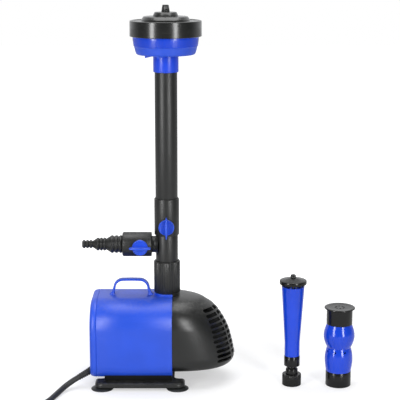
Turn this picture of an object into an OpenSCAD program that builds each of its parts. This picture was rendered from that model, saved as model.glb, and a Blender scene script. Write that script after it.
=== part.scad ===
// Fountain pump with a diverter, a riser with a spray head, and two spare nozzles.
// Lengths are in millimetres. X runs along the motor towards the strainer, Z is up,
// and every place is measured from the axis of the riser and from the ground.

/* [Clearances] */
// Running clearance of a turning or sliding piece in its bore, on the radius
run_gap = 0.05; // [0.03:0.01:0.09]
// Clearance between pieces that are fixed to each other
seat_gap = 0.1; // [0.05:0.05:0.2]
// Clear gap between faces that move past each other
face_gap = 0.3; // [0.2:0.1:0.5]

/* [Motor housing] */
// Width of the housing
housing_w = 120; // [114:1:140]
// Height of the housing's underside above the ground
housing_low = 15.5; // [14:0.5:18]
// Height of the housing's top above the ground
housing_top = 128; // [124:1:140]
// Radius of the housing's shoulders
shoulder_r = 41; // [34:1:44]
// Radius of the housing's lower edges
heel_r = 22; // [16:1:26]
// Wall of the housing
housing_wall = 3; // [2:0.5:4]
// Reach of the housing behind the riser axis
housing_rear = 110; // [106:1:125]
// Length of the rear cover
cover_l = 10; // [8:1:14]
// Depth of the rear cover's lip inside the housing
cover_lip_l = 4; // [2:0.5:6]
// Reach of the front seam ahead of the riser axis
seam_x = 8; // [6:0.5:10]
// Thickness of the wall between the motor and the pump chamber
bulkhead_t = 4; // [3:0.5:6]
// Height of the collar round the outlet
collar_h = 3.4; // [2:0.2:5]
// Radius of the collar round the outlet
collar_r = 18.6; // [18.2:0.2:19]

/* [Handle] */
// Distance between the handle's outer sides
handle_l = 59; // [50:1:64]
// Reach of the handle's middle behind the riser axis
handle_x = 52; // [50:1:56]
// Height of the handle above the housing
handle_h = 23; // [18:1:30]
// Width of the handle's strap
handle_w = 10; // [8:1:16]
// Thickness of the handle's strap
handle_t = 3.3; // [2.5:0.1:5]
// Outer radius of the handle's bends
handle_r = 13; // [10:1:15]
// Flare of the handle's feet
handle_flare = 2.4; // [1:0.2:4]

/* [Strainer] */
// Length of the strainer ahead of the seam
strainer_l = 90.4; // [80:0.5:100]
// Height of the strainer's underside above the ground
strainer_low = 23; // [21:0.5:26]
// Wall of the strainer
strainer_wall = 2.5; // [2:0.25:3]
// Depth of the strainer's lip inside the housing
strainer_lip_l = 4; // [2:0.5:6]
// Height of the lowest slot
slot_low = 36; // [34:0.5:40]
// Distance from slot to slot
slot_pitch = 7.2; // [6:0.1:7.4]
// Height of a slot
slot_h = 3.5; // [2.5:0.1:4]
// Number of slot rows
slot_rows = 11; // [6:1:11]

/* [Base] */
// Length of the base plate
base_l = 129.5; // [124:0.5:140]
// Reach of the base plate's rear end behind the riser axis
base_rear = 103.4; // [100:0.2:106]
// Width of the base plate
base_w = 120; // [110:1:124]
// Height of the base plate's underside above the ground
base_low = 4; // [3:0.5:5]
// Thickness of the base plate
base_t = 7.2; // [6.4:0.2:9]
// Radius of the base plate's corners
base_r = 12; // [8:1:16]
// Bevel of the base plate's upper edge
base_bevel = 2; // [1:0.5:3]
// Length of the cradle
cradle_l = 96.7; // [90:0.1:98]
// Width of the cradle's foot
cradle_w = 92; // [84:1:96]
// Width of the cradle across its lips
cradle_lip_w = 106; // [100:1:108]
// Height of the cradle's lips above the ground
cradle_top = 21.5; // [19:0.5:24]
// Radius of the base screws
base_screw_r = 2; // [1.5:0.25:2.5]
// Distance between the base screws
base_screw_span = 64; // [50:1:70]

/* [Suction cups] */
// Radius of a suction cup
cup_r = 16; // [14:0.5:18]
// Distance between the cups along the pump
cup_span_x = 108.6; // [100:0.2:112]
// Distance between the cups across the pump
cup_span_y = 98.8; // [92:0.2:102]
// Width of a cup's sealing rim
cup_rim = 1.4; // [1:0.2:2]
// Thickness of a cup's lip
cup_lip = 0.8; // [0.6:0.1:1.2]
// Radius of a cup's neck under the base plate
cup_neck_r = 6.5; // [5.5:0.5:8]
// Radius of a cup's stud
cup_stud_r = 4; // [3:0.5:5]
// Length of a cup's stud in the base plate
cup_stud_l = 5; // [4:0.5:5.5]

/* [Motor] */
// Outer radius of the rotor well
well_r = 18; // [17:0.5:20]
// Wall of the rotor well
well_wall = 1.5; // [1:0.25:2]
// Length of the rotor well behind its flange
well_l = 72; // [70:1:74]
// Radius of the rotor well's flange
well_flange_r = 30; // [26:1:32]
// Thickness of the rotor well's flange
well_flange_t = 3; // [2:0.5:4]
// Radius of the rotor magnet
magnet_r = 15; // [13:0.5:15.2]
// Gap between the rotor magnet's front face and the well's flange
magnet_back = 10; // [6:1:14]
// Radius of the ceramic shaft
shaft_r = 3; // [2:0.5:3.5]
// Radius of the rubber bush at the shaft's rear end
rear_bush_r = 7; // [5.5:0.5:8]
// Length of the rubber bush at the shaft's rear end
rear_bush_l = 4; // [3:0.5:6]
// Radius of the stator core
core_r = 38; // [32:1:40]
// Length of the stator core
core_l = 36; // [30:1:40]
// Radius of the stator coils
coil_r = 33; // [28:1:36]
// Length of a stator coil
coil_l = 9; // [6:1:10]

/* [Pump chamber] */
// Reach of the chamber's rear face behind the riser axis
chamber_rear = 17; // [16.6:0.2:18]
// Reach of the chamber's front face ahead of the riser axis
chamber_front = 14; // [13.9:0.1:15]
// Inner radius of the chamber
chamber_r = 31; // [30:0.5:32]
// Wall of the chamber
chamber_wall = 2.5; // [2:0.25:3]
// Rise of the chamber's middle above the shaft
chamber_rise = 2; // [1:0.5:3]
// Radius of the chamber's front flange and of its cover
chamber_cover_r = 38; // [37:0.5:39]
// Thickness of the chamber's front flange and of its cover
chamber_cover_t = 3; // [2.5:0.5:4]
// Radius of the intake eye
intake_r = 10; // [9:0.5:12]
// Radius of the impeller
impeller_r = 27; // [24:0.5:27.5]
// Thickness of the impeller's back plate
impeller_plate_t = 2; // [1.5:0.5:3]
// Height of the impeller's vanes
vane_h = 16; // [12:1:18]
// Thickness of a vane
vane_t = 2; // [1.5:0.5:3]
// Number of vanes
vanes = 6; // [4:1:8]
// Radius of the impeller's hub
hub_r = 6; // [5:0.5:7]
// Length of the front shaft bush
front_bush_l = 5; // [4:0.5:7]
// Radius of the front shaft bush
front_bush_r = 4.5; // [4.5:0.25:5]
// Radius of the circle of the chamber screws
pump_screw_circle = 41; // [40.5:0.25:42]
// Radius of a chamber screw
pump_screw_r = 1.9; // [1.5:0.1:2.1]
// Radius of a chamber post
post_r = 4.5; // [4:0.25:5]

/* [Outlet and union nut] */
// Outer radius of the threaded outlet
outlet_r = 16.6; // [16.2:0.1:16.8]
// Bore radius of the outlet and of the diverter
outlet_bore_r = 12.5; // [11:0.5:12.5]
// Outer radius of the outlet's neck
outlet_neck_r = 13.8; // [13:0.1:13.8]
// Bore radius of the outlet's neck
outlet_neck_bore_r = 11; // [9:0.5:11]
// Depth of the outlet inside the union nut
outlet_grip = 26.3; // [20:0.1:28]
// Outer radius of the union nut
nut_r = 19; // [18.8:0.1:20]
// Height of the union nut
nut_h = 46.8; // [40:0.2:54]
// Depth of the nut's grooves
nut_groove = 0.5; // [0.3:0.1:0.8]
// Number of the nut's grooves
nut_grooves = 56; // [30:2:64]
// Height of the nut's plain rounded end
nut_end_h = 1.6; // [1:0.2:3]
// Thickness of the flat seal in the union
union_seal_t = 2; // [1.5:0.5:3]
// Thickness of the T-piece's flange in the union nut
tee_flange_t = 4; // [3:0.5:5]

/* [Diverter] */
// Outer radius of the T-piece
tee_r = 16; // [15:0.25:16]
// Height of the T-piece above the union nut
tee_h = 38.9; // [36:0.1:46]
// Height of the branch axis above the union nut
branch_h = 24; // [22:0.2:24.6]
// Outer radius of the branch neck
branch_r = 12; // [11:0.25:12.4]
// Bore radius of the branch neck
branch_bore_r = 9; // [7:0.5:9.5]
// Outer radius of the T-piece's upper spigot
tee_spigot_r = 13; // [12:0.5:13.5]
// Depth of the T-piece's spigots in the valve bodies
tee_spigot_l = 4; // [3:0.2:4.4]
// Reach of the side valve behind the riser axis, at its near end
side_valve_near = 21.9; // [20.2:0.1:26]
// Outer radius of the riser valve body
riser_valve_r = 17.7; // [17.7:0.1:19]
// Length of the riser valve body
riser_valve_l = 53.5; // [52:0.5:60]
// Height of the riser valve's knob above the body's lower end
riser_knob_h = 14.5; // [14.2:0.1:16]
// Depth of the socket for the riser tube
riser_socket_l = 25; // [18:1:26]
// Outer radius of the side valve body
side_valve_r = 17.5; // [17:0.1:19]
// Length of the side valve body
side_valve_l = 41.7; // [40.5:0.1:48]
// Distance of the side valve's knob from the body's near end
side_knob_in = 16.1; // [15:0.1:17]
// Depth of the socket for the hose barb
barb_socket_l = 10; // [8:0.5:12]
// Bevel of the valve bodies' ends
valve_bevel = 1.2; // [0.6:0.2:2]
// Bore radius of the valve bodies
valve_bore_r = 8; // [6:0.5:8.5]

/* [Valve knobs] */
// Radius of the valve plugs
plug_r = 9.6; // [9:0.1:9.8]
// Reach of a valve plug behind the valve's middle
plug_in = 12.5; // [11:0.5:13.5]
// Bore radius of the valve plugs
plug_bore_r = 7.5; // [6:0.5:7.5]
// Height of the valve bosses above the valve's middle
boss_reach = 20.8; // [19.8:0.2:22]
// Outer radius of the valve bosses
boss_r = 10.9; // [10.7:0.1:11.2]
// Radius of a knob's disc
knob_r = 11.2; // [11:0.1:12]
// Thickness of a knob's disc
knob_t = 3; // [2:0.5:4]
// Length of a knob's bar
knob_bar_l = 30.5; // [26:0.5:34]
// Thickness of a knob's bar
knob_bar_t = 3.6; // [3:0.2:5]
// Height of a knob's bar above its disc
knob_bar_h = 9; // [6:0.5:12]
// Radius of the section of a plug's O-ring
o_ring_r = 0.7; // [0.6:0.05:0.8]

/* [Hose barb] */
// Crest radius of the smallest stage
barb_small_r = 6; // [5.5:0.1:6.5]
// Crest radius of the middle stage
barb_middle_r = 9.5; // [9:0.1:10]
// Crest radius of the largest stage
barb_large_r = 12.8; // [12:0.1:13.4]
// Length of the smallest stage
barb_small_l = 14; // [12:0.5:18]
// Length of the middle stage
barb_middle_l = 13; // [12:0.5:18]
// Length of the largest stage
barb_large_l = 18.8; // [16:0.2:22]
// Length of the cones between the stages
barb_cone_l = 6.6; // [5:0.2:8]
// Depth of the valleys between the ridges
barb_valley = 0.9; // [0.5:0.1:1.2]
// Bore radius of the barb
barb_bore_r = 4; // [3:0.25:4.5]
// Radius of the barb's spigot in the side valve
barb_spigot_r = 14; // [13.4:0.1:14.4]
// Thickness of the barb's seal
barb_seal_t = 1.5; // [1:0.25:2]

/* [Riser] */
// Outer radius of the riser tube
riser_r = 16; // [15:0.25:16]
// Wall of the riser tube
riser_wall = 2.5; // [2:0.25:3]
// Length of the riser tube
riser_l = 227.7; // [180:0.5:320]

/* [Spray head] */
// Outer radius of the head's sleeve
sleeve_r = 17.65; // [17.6:0.05:19]
// Height of the head's sleeve
sleeve_h = 24; // [22:0.5:30]
// Depth of the riser tube in the sleeve
sleeve_grip = 21.7; // [15:0.1:21.8]
// Radius of the journal that the bowl turns on
journal_r = 13; // [12:0.5:14]
// Height of the bowl's hub
bowl_hub_h = 10; // [8:0.5:12]
// Radius of the bowl's hub
bowl_hub_r = 16; // [15.5:0.5:18]
// Radius of the bowl's flat underside
bowl_foot_r = 36.5; // [36:0.5:37]
// Radius of the bowl above its rounded edge
bowl_low_r = 39.4; // [39:0.2:41]
// Radius of the bowl at its band edge
bowl_band_r = 43.4; // [42.5:0.2:44.5]
// Radius of the bowl at its rim
bowl_rim_r = 46.2; // [45.5:0.1:46.4]
// Height of the bowl's rounded edge
bowl_edge_h = 2.1; // [1.5:0.1:3]
// Height of the bowl's band edge above its underside
bowl_band_h = 11.2; // [9:0.2:14]
// Height of the cap's lower edge above the bowl's underside
bowl_h = 25.7; // [22:0.1:30]
// Depth of the bowl's rim in the cap
bowl_rim_in = 5; // [3:0.5:7]
// Wall of the bowl and of its cap
bowl_wall = 2.5; // [2:0.25:3]
// Outer radius of the cap
cap_r = 50; // [49.5:0.1:52]
// Height of the cap's ring
cap_h = 20; // [16:0.5:26]
// Radius of the cap's step, at its foot
step_foot_r = 33.5; // [31:0.5:36]
// Radius of the cap's step, at its top
step_top_r = 29.75; // [26:0.25:31]
// Height of the cap's step
step_h = 5.7; // [4:0.1:8]
// Height of the upright part of the step and of the hub
step_rise = 1.4; // [1:0.1:2]
// Radius of the cap's hub, at its foot
hub_foot_r = 17.15; // [16:0.25:19]
// Radius of the cap's hub, at its top
hub_top_r = 14.55; // [13:0.25:16]
// Height of the cap's hub
hub_h = 6.3; // [5:0.1:8]
// Foot radius of the centre jet
jet_foot_r = 5.7; // [5:0.1:6.5]
// Top radius of the centre jet
jet_top_r = 4.05; // [3.5:0.05:4.5]
// Height of the centre jet
jet_h = 12; // [9:0.5:16]
// Bore radius of the centre jet
jet_bore_r = 1.8; // [1.2:0.1:2.2]
// Number of the jet's ribs
jet_ribs = 16; // [10:2:20]
// Distance of the wedges under the bowl from its axis
wedge_x = 34; // [32:0.5:35]
// Length of a wedge
wedge_l = 13; // [10:0.5:15]
// Depth of a wedge
wedge_h = 3; // [2:0.2:4]

/* [Bell nozzle] */
// Reach of the bell nozzle's axis ahead of the riser axis
bell_x = 181.5; // [176:0.5:190]
// Distance of the spare nozzles' axes in front of the riser axis
spare_y = 31; // [20:1:45]
// Outer radius of the nozzle's nut
bell_nut_r = 13.7; // [13.5:0.1:15]
// Height of the nozzle's nut
bell_nut_h = 16.8; // [15:0.2:20]
// Bore radius of the nozzle's nut
bell_nut_bore_r = 11.4; // [11:0.1:11.8]
// Thickness of the nut's top
bell_nut_top_t = 2.4; // [2:0.2:3]
// Radius of the ball stem
bell_stem_r = 8.7; // [8:0.1:9]
// Height of the stem's shoulder above the nut
bell_shoulder_h = 7.6; // [6:0.2:9]
// Radius of the stem's neck
bell_neck_r = 6; // [5.5:0.1:6.4]
// Bore radius of the stem
bell_bore_r = 3.5; // [2.5:0.25:4]
// Radius of the stem's ball
ball_r = 8.6; // [8.2:0.1:8.6]
// Height of the ball's centre above the nut
ball_h = 17.7; // [17:0.1:19]
// Outer radius of the nozzle's collar
bell_collar_r = 10.8; // [10.8:0.1:12]
// Height of the nozzle's collar above the nut
bell_collar_low = 12.4; // [12:0.1:13]
// Height of the collar
bell_collar_h = 15; // [14.8:0.2:18]
// Tilt that the ball allows to each side
bell_tilt = 12; // [5:1:12]
// Radius of the cone's straight foot
cone_low_r = 9.9; // [9.6:0.1:10.6]
// Radius of the cone's mouth
cone_top_r = 15.35; // [13:0.05:17]
// Height of the cone
cone_h = 104; // [90:1:120]
// Height of the cone's straight foot
cone_foot_h = 20; // [12:1:30]
// Wall of the cone
cone_wall = 1.6; // [1.2:0.1:2]
// Radius of the deflector's rod
rod_r = 2; // [1.5:0.1:2.2]
// Gap between the cone's mouth and the deflector's rim
deflector_gap = 3.5; // [3:0.1:6]
// Radius of the deflector disc
deflector_r = 18.85; // [17:0.05:20]
// Thickness of the deflector's rim
deflector_t = 5.5; // [4:0.1:6.5]
// Height of the deflector's dome above its rim
dome_h = 3.4; // [2:0.2:5]
// Depth of the deflector's cone below its rim
under_cone_h = 2.5; // [1.5:0.1:2.6]
// Foot radius of the deflector's under-cone
under_cone_r = 10.5; // [9:0.5:12]
// Radius of the deflector's knob
top_knob_r = 4.15; // [3.6:0.05:5]
// Height of the deflector's knob
top_knob_h = 4.6; // [4:0.2:7]
// Way that the deflector can be screwed up
deflector_way = 3; // [1:0.5:3]

/* [Tier nozzle] */
// Reach of the tier nozzle's axis ahead of the riser axis
tier_x = 249.2; // [240:0.1:256]
// Outer radius of the nozzle's socket
tier_socket_r = 17.75; // [17.7:0.05:18.5]
// Height of the nozzle's socket
tier_socket_h = 21.8; // [18:0.2:26]
// Depth of the socket's bore
tier_socket_in = 19; // [14:0.5:19.5]
// Radius of the lower bulb
low_bulb_r = 18.8; // [18:0.1:20]
// Height of the lower bulb
low_bulb_h = 35.7; // [30:0.1:40]
// Radius of the waist
waist_r = 16.35; // [15:0.05:17]
// Radius of the upper bulb
high_bulb_r = 21.15; // [20:0.05:22]
// Height of the upper bulb
high_bulb_h = 34.7; // [30:0.1:40]
// Wall of the bulbs
bulb_wall = 2; // [1.5:0.25:2.5]
// Radius of the holes in the lower bulb
bulb_hole_r = 1.5; // [1:0.1:2]
// Number of holes in the lower bulb
bulb_holes = 8; // [4:1:12]
// Height of the nozzle's cap under its flange
tier_cap_h = 22.9; // [18:0.1:28]
// Radius of the nozzle's cap
tier_cap_r = 17.8; // [17:0.1:18.5]
// Radius of the cap's flange
tier_flange_r = 21.4; // [19:0.1:23]
// Thickness of the cap's flange
tier_flange_t = 2; // [1.5:0.1:3]

/* [Cord and plug] */
// Diameter of the cord
cord_d = 8; // [8:0.1:8.2]
// Radius of the strain relief at the housing
gland_r = 5.2; // [4.8:0.1:5.6]
// Radius of the strain relief at its tip
gland_tip_r = 4.4; // [4.2:0.1:4.6]
// Depth of the strain relief inside the rear cover
gland_in = 5; // [4:0.5:6]
// Distance of the cord's exit in front of the housing's middle
exit_y = 38; // [34:1:38]
// Height of the cord's exit above the ground
exit_z = 24; // [24:0.5:26]
// Radius of the plug's front
plug_front_r = 18.5; // [17:0.5:18.5]
// Length of the plug's front
plug_front_l = 17; // [14:0.5:20]
// Length of the plug's grip
plug_grip_l = 34; // [30:1:40]
// Length of the plug's strain relief
plug_relief_l = 22; // [20:1:30]
// Radius of a plug pin
pin_r = 2.4; // [2.4:0.1:2.5]
// Length of a plug pin
pin_l = 19; // [17:0.5:19]
// Distance between the plug pins
pin_span = 19; // [18:0.5:19]

/* [Hidden] */
$fn = 48;
blue = [0.20, 0.34, 0.86];
black = [0.20, 0.20, 0.20];
grey = [0.45, 0.46, 0.48];
steel = [0.72, 0.73, 0.75];
copper = [0.72, 0.42, 0.22];
amber = [0.55, 0.45, 0.30];
ivory = [0.92, 0.91, 0.86];
brass = [0.78, 0.66, 0.36];

// How far every cut runs past the surface that it opens
overrun = 1;
// Thickness of a slice in a lofted shape
slice = 0.02;

// Places along the motor
motor_z = (housing_low + housing_top) / 2;
well_flange_x = -chamber_rear - well_flange_t;
bulkhead_x = well_flange_x - bulkhead_t;
cover_x = -housing_rear + cover_l;
well_end_x = well_flange_x - well_l;
rear_bush_x = well_end_x + well_wall + seat_gap;
shaft_x = rear_bush_x;
magnet_x = rear_bush_x + rear_bush_l + face_gap;
magnet_front_x = well_flange_x - magnet_back;
chamber_floor_x = -chamber_rear + chamber_wall;
impeller_x = chamber_floor_x + 2 * face_gap;
vane_x = impeller_x + impeller_plate_t;
front_bush_x = chamber_front + chamber_cover_t - front_bush_l;
hub_end_x = front_bush_x - face_gap;
core_x = magnet_x + (magnet_front_x - magnet_x - core_l) / 2;
// Posts and screws of the chamber, at four places round the shaft
post_angles = [45, 135, 225, 315];
pump_screw_head_r = 1.8 * pump_screw_r;
pump_screw_head_t = 1.2 * pump_screw_r;
pump_screw_bite = bulkhead_t / 2;

// Heights up the riser
nut_low = housing_top + collar_h + face_gap;
outlet_top = nut_low + outlet_grip;
outlet_shoulder = motor_z + chamber_cover_r + face_gap;
tee_low = outlet_top + union_seal_t + run_gap;
nut_lip_low = tee_low + tee_flange_t + face_gap;
nut_top = nut_low + nut_h;
branch_z = nut_top + branch_h;
tee_top = nut_top + tee_h;
riser_knob_z = tee_top + riser_knob_h;
riser_valve_top = tee_top + riser_valve_l;
riser_socket_z = riser_valve_top - riser_socket_l;
riser_z = riser_socket_z + seat_gap;
riser_top = riser_z + riser_l;
sleeve_z = riser_top - sleeve_grip;
sleeve_top = sleeve_z + sleeve_h;
bowl_z = sleeve_top + face_gap;
clip_t = 2;
clip_r = journal_r + 1.25 * clip_t;
journal_top = bowl_z + bowl_hub_h + 2 * face_gap + clip_t;
cap_z = bowl_z + bowl_h;
cap_top = cap_z + cap_h;
step_top = cap_top + step_h;
jet_z = step_top + hub_h;

// Places along the branch
side_valve_far = side_valve_near + side_valve_l;
side_knob_x = side_valve_near + side_knob_in;
barb_l = barb_small_l + barb_middle_l + barb_large_l + 2 * barb_cone_l;
barb_tip = side_valve_far + barb_l;

// Cups and base
base_mid_x = -base_rear + base_l / 2;
base_top = base_low + base_t;
cradle_back = 2.4;
cradle_rear_x = base_mid_x - cradle_l / 2 - cradle_back;
cup_places = [[-1, -1], [1, -1], [-1, 1], [1, 1]];

// The whole object's box without the cord, and the shift that centres it
reach_low_x = -max(barb_tip, housing_rear, cup_span_x / 2 + cup_r - base_mid_x);
reach_high_x = max(tier_x + tier_flange_r, bell_x + deflector_r);
reach_y = max(cup_span_y / 2 + cup_r, housing_w / 2);
front_y = max(reach_y, spare_y + tier_flange_r);
shift = [-(reach_low_x + reach_high_x) / 2, (front_y - reach_y) / 2, 0];

// Points of an arc
function arc(c, r, a0, a1, n) = [for (i = [0:n]) let (a = a0 + (a1 - a0) * i / n) c + r * [cos(a), sin(a)]];

// Outline of the housing across the motor, drawn in by an inset, with its own lower edge
function outline(inset, low) = concat(
    arc([housing_w / 2 - shoulder_r, housing_top - shoulder_r], shoulder_r - inset, 0, 90, 12),
    arc([shoulder_r - housing_w / 2, housing_top - shoulder_r], shoulder_r - inset, 90, 180, 12),
    arc([heel_r - housing_w / 2, low + heel_r], heel_r - inset, 180, 270, 8),
    arc([housing_w / 2 - heel_r, low + heel_r], heel_r - inset, 270, 360, 8));

module place() translate(shift) children();

// A bar with the outline of its child, between two places along X
module along_x(x0, x1) translate([x0, 0, 0]) rotate([90, 0, 90]) linear_extrude(x1 - x0) children();

// Round bars along X at the motor's axis, along Z and along Y
module rod_x(x0, x1, r) translate([x0, 0, motor_z]) rotate([0, 90, 0]) cylinder(r = r, h = x1 - x0);
module rod_z(z0, z1, r) translate([0, 0, z0]) cylinder(r = r, h = z1 - z0);
module rod_y(y0, y1, r) translate([0, y0, 0]) rotate([-90, 0, 0]) cylinder(r = r, h = y1 - y0);
module branch_rod(x0, x1, r) translate([x0, 0, branch_z]) rotate([0, 90, 0]) cylinder(r = r, h = x1 - x0);

// Four posts round the shaft
module at_posts() for (a = post_angles) translate([0, 0, motor_z]) rotate([a, 0, 0])
    translate([0, pump_screw_circle, -motor_z]) children();

// Ring that is turned about Z from a list of points
module turned(points) rotate_extrude() polygon(points);

// Motor housing and handle
handle_half = handle_l / 2;
module handle_outline(t, foot) polygon(concat(
    [[-handle_half + t - foot, -housing_wall / 2], [-handle_half + t - foot, 0],
     [-handle_half + t, abs(foot) * 1.6]],
    arc([-handle_half + handle_r, handle_h - handle_r], handle_r - t, 180, 90, 8),
    arc([handle_half - handle_r, handle_h - handle_r], handle_r - t, 90, 0, 8),
    [[handle_half - t, abs(foot) * 1.6], [handle_half - t + foot, 0],
     [handle_half - t + foot, -housing_wall / 2]]));

module handle() translate([-handle_x, handle_w / 2, housing_top]) rotate([90, 0, 0])
    linear_extrude(handle_w) difference() {
        handle_outline(0, handle_flare);
        difference() {
            handle_outline(handle_t, -handle_flare);
            translate([-handle_l, -handle_h]) square([2 * handle_l, handle_h]);
        }
    }

module base_screw_places() for (s = [-1, 1])
    translate([-chamber_rear - housing_rear / 3 + s * base_screw_span / 2, 0, 0]) children();
boss_top = motor_z - core_r - 2 * face_gap;
front_web_top = strainer_low + strainer_wall - face_gap;

module motor_housing() color(blue) place() difference() {
    union() {
        difference() {
            along_x(cover_x, seam_x) polygon(outline(0, housing_low));
            along_x(cover_x - overrun, bulkhead_x) polygon(outline(housing_wall, housing_low));
            along_x(bulkhead_x + bulkhead_t, seam_x + overrun) polygon(outline(housing_wall, housing_low));
        }
        handle();
        rod_z(housing_top - housing_wall / 2, housing_top + collar_h, collar_r);
        along_x(seam_x - housing_wall, seam_x) intersection() {
            polygon(outline(housing_wall / 2, housing_low));
            translate([-housing_w / 2, 0]) square([housing_w, front_web_top]);
        }
        base_screw_places() rod_z(housing_low + housing_wall / 2, boss_top, 2 * base_screw_r);
    }
    rod_z(motor_z + chamber_r, housing_top + collar_h + overrun, outlet_r + face_gap);
    translate([seam_x, -housing_w / 2, housing_top - shoulder_r]) cube([housing_w, housing_w, housing_w]);
    rod_x(bulkhead_x - overrun, bulkhead_x + bulkhead_t + overrun, well_r + seat_gap);
    at_posts() rod_x(bulkhead_x + pump_screw_bite, bulkhead_x + bulkhead_t + overrun,
        pump_screw_r + seat_gap);
    base_screw_places() rod_z(housing_low - overrun, boss_top - housing_wall, base_screw_r + seat_gap);
}

// Rear cover: slices that draw in towards its bulged end
cover_shares = [0, 0.35, 0.6, 0.78, 0.9, 0.97, 1];
cover_inset_shares = [0, 0.02, 0.09, 0.22, 0.42, 0.66, 1];
cover_round = 10;
cover_heel_share = 0.45;
module cover_loft(inset, end_inset) hull() for (i = [0:len(cover_shares) - 1])
    let (draw = inset + cover_round * cover_inset_shares[i],
         low = housing_low - (1 - cover_heel_share) * (draw - inset))
    translate([cover_x - slice - (cover_l - slice - end_inset) * cover_shares[i], 0, 0])
    rotate([90, 0, 90])
    linear_extrude(slice) polygon(outline(draw, low));

gland_aim = [-17, -8, -8];
gland_l = norm(gland_aim);
gland_turn = [0, acos(gland_aim[2] / gland_l), atan2(gland_aim[1], gland_aim[0])];
module at_gland() place() translate([-housing_rear, -exit_y, exit_z]) rotate(gland_turn) children();

module rear_cover() color(blue) difference() {
    place() difference() {
        union() {
            cover_loft(0, 0);
            along_x(cover_x - housing_wall, cover_x + cover_lip_l)
                polygon(outline(housing_wall + seat_gap, housing_low));
        }
        cover_loft(1.6 * housing_wall, housing_wall);
        along_x(cover_x - 2 * slice, cover_x + cover_lip_l + overrun)
            polygon(outline(1.6 * housing_wall, housing_low));
    }
    at_gland() rod_z(-gland_in - cover_l, cover_l, gland_r + seat_gap);
}

module stator_core() color(steel) place() difference() {
    rod_x(core_x, core_x + core_l, core_r);
    rod_x(core_x - overrun, core_x + core_l + overrun, well_r + seat_gap);
}

module stator_coils() color(copper) place() difference() {
    union() {
        rod_x(core_x - seat_gap - coil_l, core_x - seat_gap, coil_r);
        rod_x(core_x + core_l + seat_gap, core_x + core_l + seat_gap + coil_l, coil_r);
    }
    rod_x(core_x - 2 * coil_l, core_x + core_l + 2 * coil_l, well_r + seat_gap);
}

module resin_block() color(amber) place() difference() {
    along_x(cover_x + cover_lip_l + face_gap, bulkhead_x - seat_gap)
        polygon(outline(housing_wall + seat_gap, housing_low));
    rod_x(well_end_x - seat_gap, bulkhead_x, well_r + seat_gap);
    rod_x(core_x - seat_gap, core_x + core_l + seat_gap, core_r + seat_gap);
    rod_x(core_x - 2 * seat_gap - coil_l, core_x + core_l + 2 * seat_gap + coil_l, coil_r + seat_gap);
    base_screw_places() rod_z(0, boss_top + seat_gap, 2 * base_screw_r + seat_gap);
}

module rotor_well() color(black) place() difference() {
    union() {
        rod_x(well_end_x, well_flange_x, well_r);
        rod_x(well_flange_x, well_flange_x + well_flange_t, well_flange_r);
    }
    difference() {
        rod_x(well_end_x + well_wall, overrun, well_r - well_wall);
        difference() {
            rod_x(well_end_x, rear_bush_x + rear_bush_l, rear_bush_r + seat_gap + well_wall);
            rod_x(well_end_x - overrun, rear_bush_x + rear_bush_l + overrun, rear_bush_r + seat_gap);
        }
    }
}

module rear_bush() color(black) place() difference() {
    rod_x(rear_bush_x, rear_bush_x + rear_bush_l, rear_bush_r);
    rod_x(rear_bush_x - overrun, rear_bush_x + rear_bush_l + overrun, shaft_r + seat_gap / 2);
}

module ceramic_shaft() color(ivory) place() rod_x(shaft_x, front_bush_x + front_bush_l, shaft_r);

module rotor_magnet() color(grey) place() difference() {
    rod_x(magnet_x, magnet_front_x, magnet_r);
    rod_x(magnet_x - overrun, magnet_front_x + overrun, shaft_r + run_gap);
}

// Each vane is an arc that runs from inside the hub out past the rim, where it is cut off
vane_arc_r = 0.6 * impeller_r;
vane_middle = 0.52 * impeller_r;
module impeller() color(blue) place() difference() {
    union() {
        rod_x(magnet_front_x, impeller_x + slice, hub_r + vane_t);
        rod_x(impeller_x, vane_x, impeller_r);
        rod_x(vane_x - slice, hub_end_x, hub_r);
        intersection() {
            rod_x(vane_x - slice, vane_x + vane_h, impeller_r);
            for (i = [0:vanes - 1]) translate([vane_x - slice, 0, motor_z]) rotate([i * 360 / vanes, 0, 0])
                difference() {
                    translate([0, 0, vane_middle]) rotate([0, 90, 0])
                        cylinder(r = vane_arc_r, h = vane_h + slice);
                    translate([-overrun, 0, vane_middle]) rotate([0, 90, 0])
                        cylinder(r = vane_arc_r - vane_t, h = vane_h + 2 * overrun);
                    translate([-overrun, -impeller_r, -impeller_r])
                        cube([vane_h + 2 * overrun, impeller_r, 3 * impeller_r]);
                }
        }
    }
    rod_x(magnet_front_x - overrun, hub_end_x + overrun, shaft_r + run_gap);
}

module front_bush() color(ivory) place() difference() {
    rod_x(front_bush_x, front_bush_x + front_bush_l, front_bush_r);
    rod_x(front_bush_x - overrun, front_bush_x + front_bush_l + overrun, shaft_r + seat_gap / 2);
}

seal_groove_r = chamber_r + chamber_wall + chamber_rise;
seal_groove_d = chamber_cover_t / 2;
seal_w = 1.8;
module chamber_drum(x0, x1, r) translate([0, 0, chamber_rise]) rod_x(x0, x1, r);

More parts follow.
